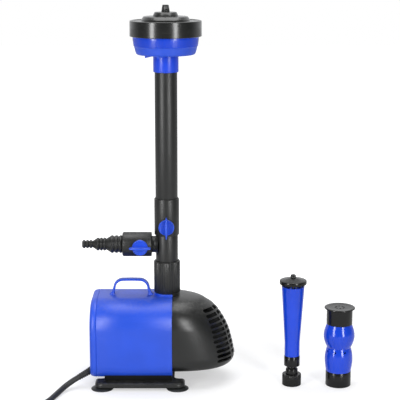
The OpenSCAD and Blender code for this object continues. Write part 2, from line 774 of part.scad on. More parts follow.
module pump_chamber() color(black) place() difference() {
    union() {
        chamber_drum(-chamber_rear, chamber_front, chamber_r + chamber_wall);
        rod_x(chamber_front - chamber_cover_t, chamber_front, chamber_cover_r);
        at_posts() rod_x(bulkhead_x + bulkhead_t, chamber_front, post_r);
        rod_z(motor_z + chamber_r / 2, outlet_shoulder + chamber_wall, outlet_neck_r);
        rod_z(outlet_shoulder, outlet_top, outlet_r);
    }
    chamber_drum(chamber_floor_x, chamber_front + overrun, chamber_r);
    rod_x(-chamber_rear - overrun, 0, well_r - well_wall);
    rod_z(motor_z, outlet_shoulder + overrun, outlet_neck_bore_r);
    rod_z(outlet_shoulder + chamber_wall, outlet_top + overrun, outlet_bore_r);
    at_posts() rod_x(bulkhead_x, chamber_front + overrun, pump_screw_r + seat_gap);
    difference() {
        rod_x(chamber_front - seal_groove_d, chamber_front + overrun, seal_groove_r + seal_w / 2);
        rod_x(chamber_front - 2 * seal_groove_d, chamber_front + 2 * overrun, seal_groove_r - seal_w / 2);
    }
}

module chamber_seal() color(black) place() difference() {
    rod_x(chamber_front - seal_groove_d + seat_gap, chamber_front - seat_gap / 2,
        seal_groove_r + seal_w / 2 - seat_gap);
    rod_x(chamber_front - seal_groove_d - overrun, chamber_front + overrun,
        seal_groove_r - seal_w / 2 + seat_gap);
}

spider_arms = 3;
arm_inset = chamber_cover_t / 6;
module chamber_cover() color(black) place() difference() {
    union() {
        difference() {
            union() {
                rod_x(chamber_front, chamber_front + chamber_cover_t, chamber_cover_r);
                at_posts() rod_x(chamber_front, chamber_front + chamber_cover_t, post_r);
            }
            rod_x(chamber_front - overrun, chamber_front + chamber_cover_t + overrun, intake_r);
        }
        rod_x(front_bush_x, front_bush_x + front_bush_l, front_bush_r + chamber_wall / 2);
        for (i = [0:spider_arms - 1]) translate([chamber_front + arm_inset, 0, motor_z])
            rotate([i * 360 / spider_arms, 0, 0]) translate([0, -vane_t / 2, front_bush_r + seat_gap])
            cube([chamber_cover_t - 2 * arm_inset, vane_t, intake_r - front_bush_r + chamber_wall / 2]);
    }
    rod_x(front_bush_x - overrun, front_bush_x + front_bush_l + overrun, front_bush_r + seat_gap);
    at_posts() rod_x(chamber_front - overrun, chamber_front + chamber_cover_t + overrun,
        pump_screw_r + seat_gap);
}

module chamber_screws() color(steel) place() at_posts() {
    rod_x(bulkhead_x + pump_screw_bite + seat_gap, chamber_front + chamber_cover_t, pump_screw_r);
    rod_x(chamber_front + chamber_cover_t, chamber_front + chamber_cover_t + pump_screw_head_t,
        pump_screw_head_r);
}

// Strainer: level slices, each half of a rounded outline ahead of the seam
strainer_h = housing_top - strainer_low;
level_shares = [0, 0.01, 0.05, 0.095, 0.16, 0.23, 0.295, 0.37, 0.45, 0.535, 0.62, 0.705, 0.79,
    0.87, 0.914, 0.962, 0.981, 0.996];
reach_shares = [0.61, 0.85, 0.937, 0.978, 1, 0.985, 0.973, 0.951, 0.929, 0.896, 0.852, 0.796,
    0.73, 0.642, 0.564, 0.476, 0.321, 0.155];
low_round = 2.3;
high_round = 1.6;
plan_points = 10;
function half_width(z) = let (top = housing_top - shoulder_r, low = strainer_low + heel_r)
    z > top ? housing_w / 2 - shoulder_r + sqrt(max(0, pow(shoulder_r, 2) - pow(z - top, 2)))
    : z < low ? housing_w / 2 - heel_r + sqrt(max(0, pow(heel_r, 2) - pow(low - z, 2)))
    : housing_w / 2;
function plan(a, b, n) = [for (i = [-plan_points:plan_points]) let (t = 90 * i / plan_points)
    [a * pow(abs(cos(t)), 2 / n), sign(t) * b * pow(abs(sin(t)), 2 / n)]];
module strainer_loft(inset) hull() {
    along_x(seam_x + face_gap - (inset > 0 ? overrun : 0), seam_x + face_gap + slice)
        polygon(outline(inset, strainer_low));
    for (i = [0:len(level_shares) - 1]) let (z = strainer_low + strainer_h * level_shares[i],
        level = inset + (strainer_h - 2 * inset) * level_shares[i])
        translate([seam_x + face_gap, 0, strainer_low + level]) linear_extrude(slice)
            polygon(plan(strainer_l * reach_shares[i] - inset, half_width(z) - inset,
                low_round + (high_round - low_round) * level_shares[i]));
}

// Slot windows of one row: a middle window and one round each corner
slot_edge = 34;
slot_rib = 13.5;
slot_rib_half = 1.2;
slot_narrow = 2;
// The upper rows are narrower, as the strainer is there
function slot_end(i) = slot_edge - slot_narrow * max(0, i - slot_rows + 4);
function slot_spans(e) = [[-e, -slot_rib - slot_rib_half], [slot_rib_half - slot_rib,
    slot_rib - slot_rib_half], [slot_rib + slot_rib_half, e]];
module slot_window(span) linear_extrude(slot_h) polygon(concat([[0, 0]],
    [for (a = [span[0], span[1]]) 2 * strainer_l * [cos(a), sin(a)]]));

module strainer_housing() color(black) place() difference() {
    union() {
        difference() {
            union() {
                strainer_loft(0);
                intersection() {
                    rod_z(housing_top - housing_wall, housing_top + collar_h, collar_r);
                    translate([seam_x + face_gap, -housing_w, 0])
                        cube([housing_w, 2 * housing_w, 2 * housing_top]);
                }
            }
            strainer_loft(strainer_wall);
        }
        difference() {
            along_x(seam_x - strainer_lip_l, seam_x + strainer_wall)
                polygon(outline(housing_wall + 2 * seat_gap, strainer_low + housing_wall / 2));
            along_x(seam_x - strainer_lip_l - overrun, seam_x + strainer_wall + overrun)
                polygon(outline(1.6 * housing_wall, strainer_low + housing_wall / 2));
        }
    }
    rod_z(motor_z + chamber_r, housing_top + collar_h + overrun, outlet_r + face_gap);
    translate([-housing_w, -outlet_r - face_gap, motor_z + chamber_r])
        cube([housing_w, 2 * (outlet_r + face_gap), housing_w]);
    for (i = [0:slot_rows - 1], s = slot_spans(slot_end(i)))
        translate([seam_x, 0, slot_low + i * slot_pitch]) slot_window(s);
}

// Base plate with its cradle
function plate_outline(inset) = concat(
    arc([base_l / 2 - base_r, base_w / 2 - base_r], base_r - inset, 0, 90, 8),
    arc([base_r - base_l / 2, base_w / 2 - base_r], base_r - inset, 90, 180, 8),
    arc([base_r - base_l / 2, base_r - base_w / 2], base_r - inset, 180, 270, 8),
    arc([base_l / 2 - base_r, base_r - base_w / 2], base_r - inset, 270, 360, 8));
module at_cup(i) translate([base_mid_x + cup_places[i][0] * cup_span_x / 2,
    cup_places[i][1] * cup_span_y / 2, 0]) children();

module base_plate() color(black) place() difference() {
    union() {
        hull() {
            translate([base_mid_x, 0, base_low]) linear_extrude(base_t - base_bevel)
                polygon(plate_outline(0));
            translate([base_mid_x, 0, base_low]) linear_extrude(base_t)
                polygon(plate_outline(base_bevel));
        }
        difference() {
            along_x(cradle_rear_x, cradle_rear_x + cradle_l)
                polygon([[-cradle_w / 2, base_top - slice], [cradle_w / 2, base_top - slice],
                    [cradle_lip_w / 2, cradle_top], [-cradle_lip_w / 2, cradle_top]]);
            along_x(cradle_rear_x - overrun, cradle_rear_x + cradle_l + overrun)
                polygon(outline(-seat_gap, housing_low));
        }
    }
    for (i = [0:3]) at_cup(i)
        rod_z(base_low - overrun, base_low + cup_stud_l + seat_gap, cup_stud_r + seat_gap);
    base_screw_places() rod_z(0, housing_low, base_screw_r + seat_gap);
    base_screw_places() rod_z(base_low - overrun, base_low + base_screw_r + seat_gap, 2 * base_screw_r);
}

module base_screws() color(steel) place() base_screw_places() {
    rod_z(base_low + seat_gap, base_low + base_screw_r, 2 * base_screw_r - seat_gap);
    rod_z(base_low + seat_gap, boss_top - housing_wall - face_gap, base_screw_r);
}

module suction_cup(i) color(black) place() at_cup(i) turned([
    [0, base_low / 2], [cup_r - 3 * cup_rim, cup_lip], [cup_r - cup_rim, 0], [cup_r, 0],
    [cup_r, cup_lip], [cup_r - 2 * cup_rim, 2.5 * cup_lip], [cup_neck_r + cup_rim, 3.5 * cup_lip],
    [cup_neck_r, base_low - face_gap / 3], [cup_stud_r, base_low - face_gap / 3],
    [cup_stud_r, base_low + cup_stud_l], [0, base_low + cup_stud_l]]);
module suction_cup_1() suction_cup(0);
module suction_cup_2() suction_cup(1);
module suction_cup_3() suction_cup(2);
module suction_cup_4() suction_cup(3);

// Union
module union_seal() color(black) place() difference() {
    rod_z(outlet_top, outlet_top + union_seal_t, outlet_r);
    rod_z(outlet_top - overrun, outlet_top + union_seal_t + overrun, outlet_bore_r);
}

module union_nut() color(black) place() difference() {
    union() {
        translate([0, 0, nut_low]) linear_extrude(nut_h - nut_end_h) polygon(
            [for (i = [0:2 * nut_grooves - 1]) (nut_r - nut_groove * (i % 2))
                * [cos(180 * i / nut_grooves), sin(180 * i / nut_grooves)]]);
        translate([0, 0, nut_top - nut_end_h])
            cylinder(r1 = nut_r - nut_groove, r2 = nut_r - nut_end_h, h = nut_end_h);
    }
    rod_z(nut_low - overrun, nut_lip_low, outlet_r + run_gap);
    rod_z(nut_low, nut_top + overrun, tee_r + run_gap);
}

// Diverter
module diverter_tee() color(black) place() difference() {
    union() {
        rod_z(tee_low, tee_low + tee_flange_t, outlet_r);
        rod_z(tee_low, tee_top, tee_r);
        rod_z(tee_top - overrun, tee_top + tee_spigot_l, tee_spigot_r);
        branch_rod(-side_valve_near - tee_spigot_l, 0, branch_r);
    }
    rod_z(tee_low - overrun, tee_top, outlet_bore_r);
    rod_z(tee_top - overrun, tee_top + tee_spigot_l + overrun, tee_spigot_r - riser_wall);
    branch_rod(-side_valve_near - tee_spigot_l - overrun, 0, branch_bore_r);
}

// Cavity of a valve, with its plug along Y
module plug_cavity() rod_y(-boss_reach - overrun, plug_in + face_gap, plug_r + run_gap);

module riser_valve_body() color(black) place() difference() {
    union() {
        rod_z(tee_top + valve_bevel, riser_valve_top - valve_bevel, riser_valve_r);
        translate([0, 0, tee_top])
            cylinder(r1 = riser_valve_r - valve_bevel, r2 = riser_valve_r, h = valve_bevel);
        translate([0, 0, riser_valve_top - valve_bevel])
            cylinder(r1 = riser_valve_r, r2 = riser_valve_r - valve_bevel / 2, h = valve_bevel);
        translate([0, 0, riser_knob_z]) rod_y(-boss_reach, 0, boss_r);
    }
    rod_z(tee_top - overrun, tee_top + tee_spigot_l + seat_gap, tee_spigot_r + seat_gap);
    rod_z(tee_top, riser_socket_z + overrun, valve_bore_r);
    rod_z(riser_socket_z, riser_valve_top + overrun, riser_r + run_gap);
    translate([0, 0, riser_knob_z]) plug_cavity();
}

o_ring_y = -boss_reach + 3 * o_ring_r;
o_ring_ring_r = plug_r - o_ring_r;
// Knob with its plug, its bar along the local X
module knob() difference() {
    union() {
        rod_y(-boss_reach - face_gap, plug_in, plug_r);
        rod_y(-boss_reach - face_gap - knob_t, -boss_reach - face_gap, knob_r);
        translate([0, -boss_reach - face_gap - knob_t, 0]) rotate([90, 0, 0])
            linear_extrude(knob_bar_h) polygon([
                [-knob_bar_l / 2, -knob_bar_t / 4], [-knob_r, -knob_bar_t / 2],
                [knob_r, -knob_bar_t / 2], [knob_bar_l / 2, -knob_bar_t / 4],
                [knob_bar_l / 2, knob_bar_t / 4], [knob_r, knob_bar_t / 2],
                [-knob_r, knob_bar_t / 2], [-knob_bar_l / 2, knob_bar_t / 4]]);
    }
    rotate([0, 90, 0]) translate([0, 0, -knob_r]) cylinder(r = plug_bore_r, h = 2 * knob_r);
    difference() {
        rod_y(o_ring_y - 1.2 * o_ring_r, o_ring_y + 1.2 * o_ring_r, plug_r + overrun);
        rod_y(o_ring_y - overrun, o_ring_y + overrun, plug_r - 2.1 * o_ring_r);
    }
}
module o_ring() translate([0, o_ring_y, 0]) rotate([90, 0, 0]) rotate_extrude()
    translate([o_ring_ring_r, 0]) circle(r = o_ring_r, $fn = 24);

module riser_valve_knob() color(blue) place() translate([0, 0, riser_knob_z]) rotate([0, 90, 0]) knob();
module riser_valve_o_ring() color(black) place() translate([0, 0, riser_knob_z]) o_ring();

module side_valve_body() color(black) place() difference() {
    union() {
        branch_rod(-side_valve_far + 2 * valve_bevel, -side_valve_near, side_valve_r);
        translate([-side_valve_far, 0, branch_z]) rotate([0, 90, 0])
            cylinder(r1 = side_valve_r - 2 * valve_bevel, r2 = side_valve_r, h = 2 * valve_bevel);
        translate([-side_knob_x, 0, branch_z]) rod_y(-boss_reach, 0, boss_r);
    }
    branch_rod(-side_valve_near - tee_spigot_l - seat_gap, -side_valve_near + overrun, branch_r + seat_gap);
    branch_rod(-side_valve_far, -side_valve_near, valve_bore_r);
    branch_rod(-side_valve_far - overrun, -side_valve_far + barb_socket_l, barb_spigot_r + seat_gap);
    translate([-side_knob_x, 0, branch_z]) plug_cavity();
}
module side_valve_knob() color(blue) place() translate([-side_knob_x, 0, branch_z]) knob();
module side_valve_o_ring() color(black) place() translate([-side_knob_x, 0, branch_z]) o_ring();

barb_seal_x = -side_valve_far + barb_socket_l - barb_seal_t;
module barb_seal() color(black) place() difference() {
    branch_rod(barb_seal_x, barb_seal_x + barb_seal_t, barb_spigot_r);
    branch_rod(-side_valve_far, -side_valve_near, valve_bore_r);
}

// Ridges of one barb stage as heights and radii, from its foot to its tip
ridges = 3;
ridge_points = 6;
function stage(z0, l, r) = [for (i = [0:ridges * ridge_points]) let (a = 360 * i / ridge_points)
    [r - barb_valley * (1 + cos(a)) / 2, z0 + l * i / (ridges * ridge_points)]];
middle_z = barb_large_l + barb_cone_l;
small_z = middle_z + barb_middle_l + barb_cone_l;
module at_barb() translate([-side_valve_far, 0, branch_z]) rotate([0, -90, 0]) children();
module hose_barb() color(black) place() at_barb() difference() {
    union() {
        turned(concat([[0, 0]], stage(0, barb_large_l, barb_large_r),
            stage(middle_z, barb_middle_l, barb_middle_r), stage(small_z, barb_small_l, barb_small_r),
            [[0, small_z + barb_small_l]]));
        rod_z(-barb_socket_l + barb_seal_t, slice, barb_spigot_r);
    }
    rod_z(-barb_socket_l, barb_l + overrun, barb_bore_r);
    translate([0, 0, -barb_socket_l]) cylinder(r1 = valve_bore_r, r2 = barb_bore_r, h = barb_large_l);
}

// Riser and spray head
module riser_tube() color(black) place() difference() {
    rod_z(riser_z, riser_top, riser_r);
    rod_z(riser_z - overrun, riser_top + overrun, riser_r - riser_wall);
}

module head_sleeve() color(blue) place() difference() {
    union() {
        rod_z(sleeve_z + valve_bevel, sleeve_top, sleeve_r);
        translate([0, 0, sleeve_z])
            cylinder(r1 = sleeve_r - valve_bevel / 2, r2 = sleeve_r, h = valve_bevel);
        rod_z(sleeve_top - overrun, journal_top, journal_r);
    }
    rod_z(sleeve_z - overrun, riser_top + seat_gap, riser_r + run_gap);
    rod_z(sleeve_z, journal_top + overrun, journal_r - bowl_wall);
}

clip_low = bowl_z + bowl_hub_h + face_gap;
module head_clip() color(black) place() difference() {
    rod_z(clip_low, clip_low + clip_t, clip_r);
    rod_z(clip_low - overrun, clip_low + clip_t + overrun, journal_r + seat_gap);
}

module wedge(a) rotate([0, 0, a]) translate([wedge_x + bowl_wall / 2, -wedge_l / 2, 0])
    rotate([90, 0, -90]) linear_extrude(bowl_wall)
    polygon([[-wedge_l, slice], [0, slice], [0, -wedge_h]]);
wedge_angles = [-132, -98, 48, 82];

module spray_bowl() color(blue) place() translate([0, 0, bowl_z]) difference() {
    union() {
        turned([[0, 0], [bowl_foot_r, 0], [bowl_low_r, bowl_edge_h], [bowl_band_r, bowl_band_h],
            [bowl_rim_r, bowl_h], [bowl_rim_r, bowl_h + bowl_rim_in],
            [bowl_rim_r - bowl_wall, bowl_h + bowl_rim_in], [bowl_rim_r - bowl_wall, bowl_h],
            [bowl_band_r - bowl_wall, bowl_band_h],
            [bowl_low_r - bowl_wall, bowl_edge_h + bowl_wall / 2], [bowl_foot_r - bowl_wall / 2, bowl_wall],
            [bowl_hub_r, bowl_wall], [bowl_hub_r, bowl_hub_h], [0, bowl_hub_h]]);
        for (a = wedge_angles) wedge(a);
    }
    rod_z(-overrun, bowl_hub_h + overrun, journal_r + run_gap);
}

jet_hole_r = 0.8;
jet_rings = [[(cap_r + step_foot_r) / 2, 24], [(step_top_r + hub_foot_r) / 2, 16],
    [(hub_top_r + jet_foot_r) / 2, 10]];
step_z = cap_h + step_h;
hub_z = step_z + hub_h;
module spray_cap() color(black) place() translate([0, 0, cap_z]) difference() {
    turned([[bowl_rim_r + seat_gap, 0], [cap_r, 0], [cap_r, cap_h - valve_bevel / 2],
        [cap_r - valve_bevel / 2, cap_h], [step_foot_r, cap_h], [step_foot_r, cap_h + step_rise],
        [step_top_r, step_z], [hub_foot_r, step_z], [hub_foot_r, step_z + step_rise],
        [hub_top_r, hub_z], [jet_top_r + seat_gap, hub_z], [jet_top_r + seat_gap, hub_z - bowl_wall],
        [hub_top_r - bowl_wall, hub_z - bowl_wall], [hub_foot_r - bowl_wall, step_z - bowl_wall],
        [step_top_r - bowl_wall, step_z - bowl_wall], [step_foot_r - bowl_wall, cap_h - bowl_wall],
        [bowl_rim_r + seat_gap, cap_h - bowl_wall]]);
    for (ring = jet_rings, i = [0:ring[1] - 1]) rotate([0, 0, i * 360 / ring[1]])
        translate([ring[0], 0, cap_h / 2]) cylinder(r = jet_hole_r, h = cap_h, $fn = 16);
}

// Ribbed tip, with its foot at the ground
module ribbed_tip(r_low, r_high, h, ribs) difference() {
    cylinder(r1 = r_low, r2 = r_high, h = h);
    for (i = [0:ribs - 1]) rotate([0, 0, i * 360 / ribs]) translate([r_low, 0, h / 8])
        rotate([0, -atan((r_low - r_high) / h), 0]) cylinder(r = PI * r_low / ribs / 2, h = 2 * h, $fn = 16);
}
module centre_jet() color(black) place() translate([0, 0, jet_z]) difference() {
    union() {
        ribbed_tip(jet_foot_r, jet_top_r, jet_h, jet_ribs);
        translate([0, 0, -2 * bowl_wall]) cylinder(r = jet_top_r, h = 2 * bowl_wall + slice);
    }
    translate([0, 0, -hub_h]) cylinder(r = jet_bore_r, h = hub_h + jet_h + overrun);
}

// Bell nozzle
module at_bell() place() translate([bell_x, -spare_y, 0]) children();
ball_z = bell_nut_h + ball_h;
bell_collar_z = bell_nut_h + bell_collar_low;
cone_z = bell_collar_z + bell_collar_h;
cone_top = cone_z + cone_h;
deflector_z = cone_top + deflector_gap;
stem_flange_t = 3;
stem_flange_z = bell_nut_h - bell_nut_top_t - face_gap - stem_flange_t;
cone_in = 6;

module bell_nut() color(black) at_bell() difference() {
    linear_extrude(bell_nut_h) polygon([for (i = [0:2 * nut_grooves - 1])
        (bell_nut_r - nut_groove * (i % 2)) * [cos(180 * i / nut_grooves), sin(180 * i / nut_grooves)]]);
    rod_z(-overrun, bell_nut_h - bell_nut_top_t, bell_nut_bore_r);
    rod_z(stem_flange_z - face_gap, bell_nut_h - bell_nut_top_t, bell_nut_bore_r + 2 * face_gap);
    rod_z(0, bell_nut_h + overrun, bell_stem_r + run_gap);
}

module bell_stem() color(black) at_bell() difference() {
    union() {
        rod_z(stem_flange_z, stem_flange_z + stem_flange_t, bell_nut_bore_r - run_gap);
        rod_z(stem_flange_z, bell_nut_h + bell_shoulder_h, bell_stem_r);
        translate([0, 0, bell_nut_h + bell_shoulder_h - slice])
            cylinder(r1 = bell_stem_r, r2 = bell_neck_r, h = bell_stem_r - bell_neck_r);
        rod_z(bell_nut_h, ball_z, bell_neck_r);
        translate([0, 0, ball_z]) sphere(r = ball_r);
    }
    rod_z(0, ball_z + 2 * ball_r, bell_bore_r);
}

ball_seat_r = ball_r + run_gap;
mouth_r = bell_neck_r + (ball_z - bell_collar_z) * tan(bell_tilt) * 1.8;
module bell_collar() color(black) at_bell() difference() {
    union() {
        rod_z(bell_collar_z, cone_z, bell_collar_r);
        rod_z(cone_z - slice, cone_z + cone_in, cone_low_r - cone_wall - seat_gap);
    }
    translate([0, 0, ball_z]) sphere(r = ball_seat_r);
    translate([0, 0, bell_collar_z - slice])
        cylinder(r1 = mouth_r, r2 = bell_neck_r, h = (ball_z - bell_collar_z) * 0.6);
    rod_z(ball_z, cone_z + cone_in + overrun, bell_bore_r);
    for (a = [0, 120, 240]) rotate([0, 0, a]) translate([bell_bore_r + rod_r / 2, 0, ball_z + ball_r / 2])
        cylinder(r = rod_r, h = bell_collar_h + cone_in);
}

module bell_cone() color(blue) at_bell() difference() {
    turned([[0, cone_z], [cone_low_r, cone_z], [cone_low_r, cone_z + cone_foot_h], [cone_top_r, cone_top],
        [0, cone_top]]);
    turned([[0, cone_z - overrun], [cone_low_r - cone_wall, cone_z - overrun],
        [cone_low_r - cone_wall, cone_z + cone_foot_h], [cone_top_r - cone_wall, cone_top],
        [cone_top_r - cone_wall, cone_top + overrun], [0, cone_top + overrun]]);
}

// Rod of the deflector, with a foot that fills the collar's bore
rim_top = deflector_z + deflector_t;
rod_top = rim_top + dome_h / 2;
module bell_rod() color(steel) at_bell() {
    rod_z(ball_z + ball_r + face_gap, cone_z + cone_in, bell_bore_r - seat_gap / 2);
    rod_z(cone_z, rod_top, rod_r);
}

module deflector_disc() color(black) at_bell() difference() {
    turned([[0, deflector_z - under_cone_h], [under_cone_r / 2, deflector_z - under_cone_h],
        [under_cone_r, deflector_z], [deflector_r - face_gap, deflector_z],
        [deflector_r, deflector_z + face_gap], [deflector_r, rim_top - face_gap],
        [deflector_r - face_gap, rim_top], [under_cone_r, rim_top + dome_h / 2],
        [top_knob_r, rim_top + dome_h], [0, rim_top + dome_h]]);
    rod_z(0, rod_top + seat_gap, rod_r + run_gap);
}

module deflector_knob() color(black) at_bell() translate([0, 0, rim_top + dome_h])
    ribbed_tip(top_knob_r, 0.84 * top_knob_r, top_knob_h, jet_ribs / 2);

// Tier nozzle
module at_tier() place() translate([tier_x, -spare_y, 0]) children();
bulb_z = tier_socket_h;
waist_z = bulb_z + low_bulb_h;
bulb_top = waist_z + high_bulb_h;
tier_cap_top = bulb_top + tier_cap_h;
tier_end_r = tier_socket_r - face_gap;
tier_neck_r = tier_end_r - bulb_wall - seat_gap;
tier_bore_r = tier_neck_r - bulb_wall;
tier_neck_h = bulb_wall;
bulb_hole_z = waist_z - 3 * bulb_hole_r;
bulb_points = 10;
// Side of a bulb between two end radii
function bulb_side(z0, h, r0, r1, r_mid) = [for (i = [0:bulb_points]) let (s = i / bulb_points,
    r_end = r0 + (r1 - r0) * s) [r_end + (r_mid - r_end) * sin(180 * s), z0 + h * s]];
bulb_profile = concat(bulb_side(bulb_z, low_bulb_h, tier_end_r, waist_r, low_bulb_r),
    bulb_side(waist_z, high_bulb_h, waist_r, tier_end_r, high_bulb_r));

module tier_socket() color(black) at_tier() difference() {
    union() {
        rod_z(0, tier_socket_h, tier_socket_r);
        rod_z(tier_socket_h - slice, tier_socket_h + tier_neck_h, tier_neck_r);
    }
    rod_z(-overrun, tier_socket_in, riser_r + 2 * run_gap);
    rod_z(0, tier_socket_h + tier_neck_h + overrun, tier_bore_r);
}

module tier_bulbs() color(blue) at_tier() difference() {
    turned(concat([[0, bulb_z]], bulb_profile, [[0, bulb_top]]));
    turned(concat([[0, bulb_z - overrun], [tier_end_r - bulb_wall, bulb_z - overrun]],
        [for (p = bulb_profile) [p[0] - bulb_wall, p[1]]],
        [[tier_end_r - bulb_wall, bulb_top + overrun], [0, bulb_top + overrun]]));
    for (i = [0:bulb_holes - 1]) rotate([0, 0, (i + 0.5) * 360 / bulb_holes])
        translate([waist_r / 2, 0, bulb_hole_z]) rotate([0, 90, 0])
            cylinder(r = bulb_hole_r, h = waist_r, $fn = 24);
}

module tier_cap() color(black) at_tier() difference() {
    union() {
        rod_z(bulb_top, tier_cap_top, tier_cap_r);
        rod_z(tier_cap_top - slice, tier_cap_top + tier_flange_t, tier_flange_r);
        rod_z(bulb_top - tier_neck_h, bulb_top + slice, tier_neck_r);
    }
    rod_z(bulb_top - tier_neck_h - overrun, tier_cap_top, tier_bore_r);
    for (i = [0:bulb_holes - 1]) rotate([0, 0, i * 360 / bulb_holes])
        translate([outlet_bore_r / 2, 0, bulb_top]) cylinder(r = bulb_hole_r, h = 2 * tier_cap_h, $fn = 24);
}

// Cord: its route from the strain relief to the coil, over the ground
cord_route = [[-201, -46, 16], [-207.8, -49.2, 12.8], [-214.1, -54.1, 9.6], [-219.6, -60, 7],
    [-223.7, -67, 5.2], [-226.2, -73.6, 4.5], [-228.8, -81.6, 4.2],
    [-232, -92.5, 4.2], [-235, -103, 4.2], [-240.1, -115.1, 4.2],
    [-248.2, -125.4, 4.2], [-258.7, -133.3, 4.2], [-270.8, -138.3, 4.2],
    [-283.8, -140, 4.2], [-302, -140, 4.2], [-320, -140, 4.3], [-339, -140, 4.6],
    [-358, -140, 4.9], [-376, -140, 5], [-394, -140, 5]];
// Route from the coil's last turn, up over its turns, to the plug that lies on them
tail_route = [[-479, -55, 47.5], [-478.4, -45.6, 48.7], [-476.7, -36.4, 51.3], [-474.1, -29, 53.6],
    [-470.2, -22.2, 55.4], [-465.1, -16.3, 55.8], [-459, -11.4, 55.8],
    [-452.1, -7.8, 55.8], [-444.7, -5.5, 55.8], [-436.9, -4.5, 55.8],
    [-429.1, -5.1, 55.8], [-421.6, -7.1, 55.8], [-416.9, -8.8, 56.8],
    [-412.2, -10.5, 57.9]];
cord_sides = 8;

function direction(p, i) = let (n = len(p) - 1, d = p[min(i + 1, n)] - p[max(i - 1, 0)]) d / norm(d);
// Ring of points round one point of a route
function ring(c, d, r, n, a0) = let (flat = cross(d, [0, 0, 1]), side = flat / norm(flat),
    up = cross(side, d))
    [for (k = [0:n - 1]) let (a = a0 + 360 * k / n) c + r * (cos(a) * side + sin(a) * up)];
// Closed tube through rings of n points
module tube(rings, n) {
    last = len(rings) - 1;
    polyhedron(points = concat([for (q = rings) each q], [rings[0][0] / 2 + rings[0][n / 2] / 2],
            [rings[last][0] / 2 + rings[last][n / 2] / 2]),
        faces = concat(
            [for (i = [0:last - 1], k = [0:n - 1]) [i * n + k, i * n + (k + 1) % n, (i + 1) * n + k]],
            [for (i = [0:last - 1], k = [0:n - 1]) let (m = (k + 1) % n)
                [i * n + m, (i + 1) * n + m, (i + 1) * n + k]],
            [for (k = [0:n - 1]) [(last + 1) * n, (k + 1) % n, k]],
            [for (k = [0:n - 1]) [(last + 1) * n + 1, last * n + k, last * n + (k + 1) % n]]));
}
module cord_stretch(route) tube([for (i = [0:len(route) - 1])
    ring(route[i], direction(route, i), cord_d / 2, cord_sides, 0)], cord_sides);

module cable_gland() color(black) at_gland() {
    rod_z(-gland_in, 0, gland_r);
    cylinder(r1 = gland_r, r2 = gland_tip_r, h = gland_l);
}
module power_cord() color(black) cord_stretch(cord_route);
module cord_tail() color(black) cord_stretch(tail_route);

// Coil: six layers that spiral in and out, climbing where the spiral reverses
coil_in_r = 40;
coil_out_r = 77;
coil_layer_h = 8.5;
layer_turns = 4.375;
layers = 6;
loop_rings = 24;
loop_sides = 6;
coil_start = cord_route[len(cord_route) - 1] - [cord_d, 0, 0];
coil_middle = [coil_start[0], coil_start[1] + coil_out_r];
coil_turns = layers * layer_turns;
coil_pitch = (coil_out_r - coil_in_r) / layer_turns;
// Radius and height after a number of turns
function coil_radius(t) = let (q = t / layer_turns, k = floor(q), s = q - k)
    k % 2 == 0 ? coil_out_r - (coil_out_r - coil_in_r) * s : coil_in_r + (coil_out_r - coil_in_r) * s;
function coil_height(t) = coil_start[2] + coil_layer_h * (let (q = round(t / layer_turns),
    climb = (t - q * layer_turns) * 2 + 0.5) q < 1 ? 0 : q > layers - 1 ? layers - 1
    : q - 1 + min(1, max(0, climb)));
function coil_point(t) = let (a = 270 - 360 * t)
    [coil_middle[0] + coil_radius(t) * cos(a), coil_middle[1] + coil_radius(t) * sin(a), coil_height(t)];
coil_steps = coil_turns * loop_rings;
coil_points = [for (i = [0:coil_steps]) coil_point(i / loop_rings)];
coil_path = concat([coil_points[0] + [cord_d, 0, 0]], coil_points,
    [coil_points[coil_steps] + [0, cord_d, 0]]);
// Least gap between stretches of the cord that lie half a turn or more apart along it
module report_gap() echo(least_gap_mm = min([for (i = [0:coil_steps - loop_rings / 2])
    min([for (j = [i + loop_rings / 2:coil_steps]) norm(coil_points[i] - coil_points[j])])]) - cord_d);
module cord_coil() color(black) {
    report_gap();
    tube([for (i = [0:len(coil_path) - 1]) let (d = i == 0 || i == 1 ? [-1, 0, 0]
        : i >= len(coil_path) - 2 ? [0, 1, 0] : direction(coil_path, i))
        ring(coil_path[i], d, cord_d / 2, loop_sides, 30)], loop_sides);
}

tie_w = 10;
tie_t = 0.7;
tie_angles = [215, 325];
tie_gap = 0.2;
coil_low = coil_start[2] - cord_d / 2;
coil_high = coil_low + cord_d + (layers - 1) * coil_layer_h;
tie_room = [coil_out_r - coil_in_r + cord_d + 2 * tie_gap, coil_high - coil_low + 2 * tie_gap];
module coil_ties() color(grey) for (a = tie_angles)
    translate([coil_middle[0], coil_middle[1], 0]) rotate([0, 0, a])
        translate([coil_in_r - cord_d / 2 - tie_gap - tie_t, tie_w / 2, coil_low - tie_gap - tie_t])
        rotate([90, 0, 0]) linear_extrude(tie_w) difference() {
            square(tie_room + 2 * [tie_t, tie_t]);
            translate([tie_t, tie_t]) square(tie_room);
        }

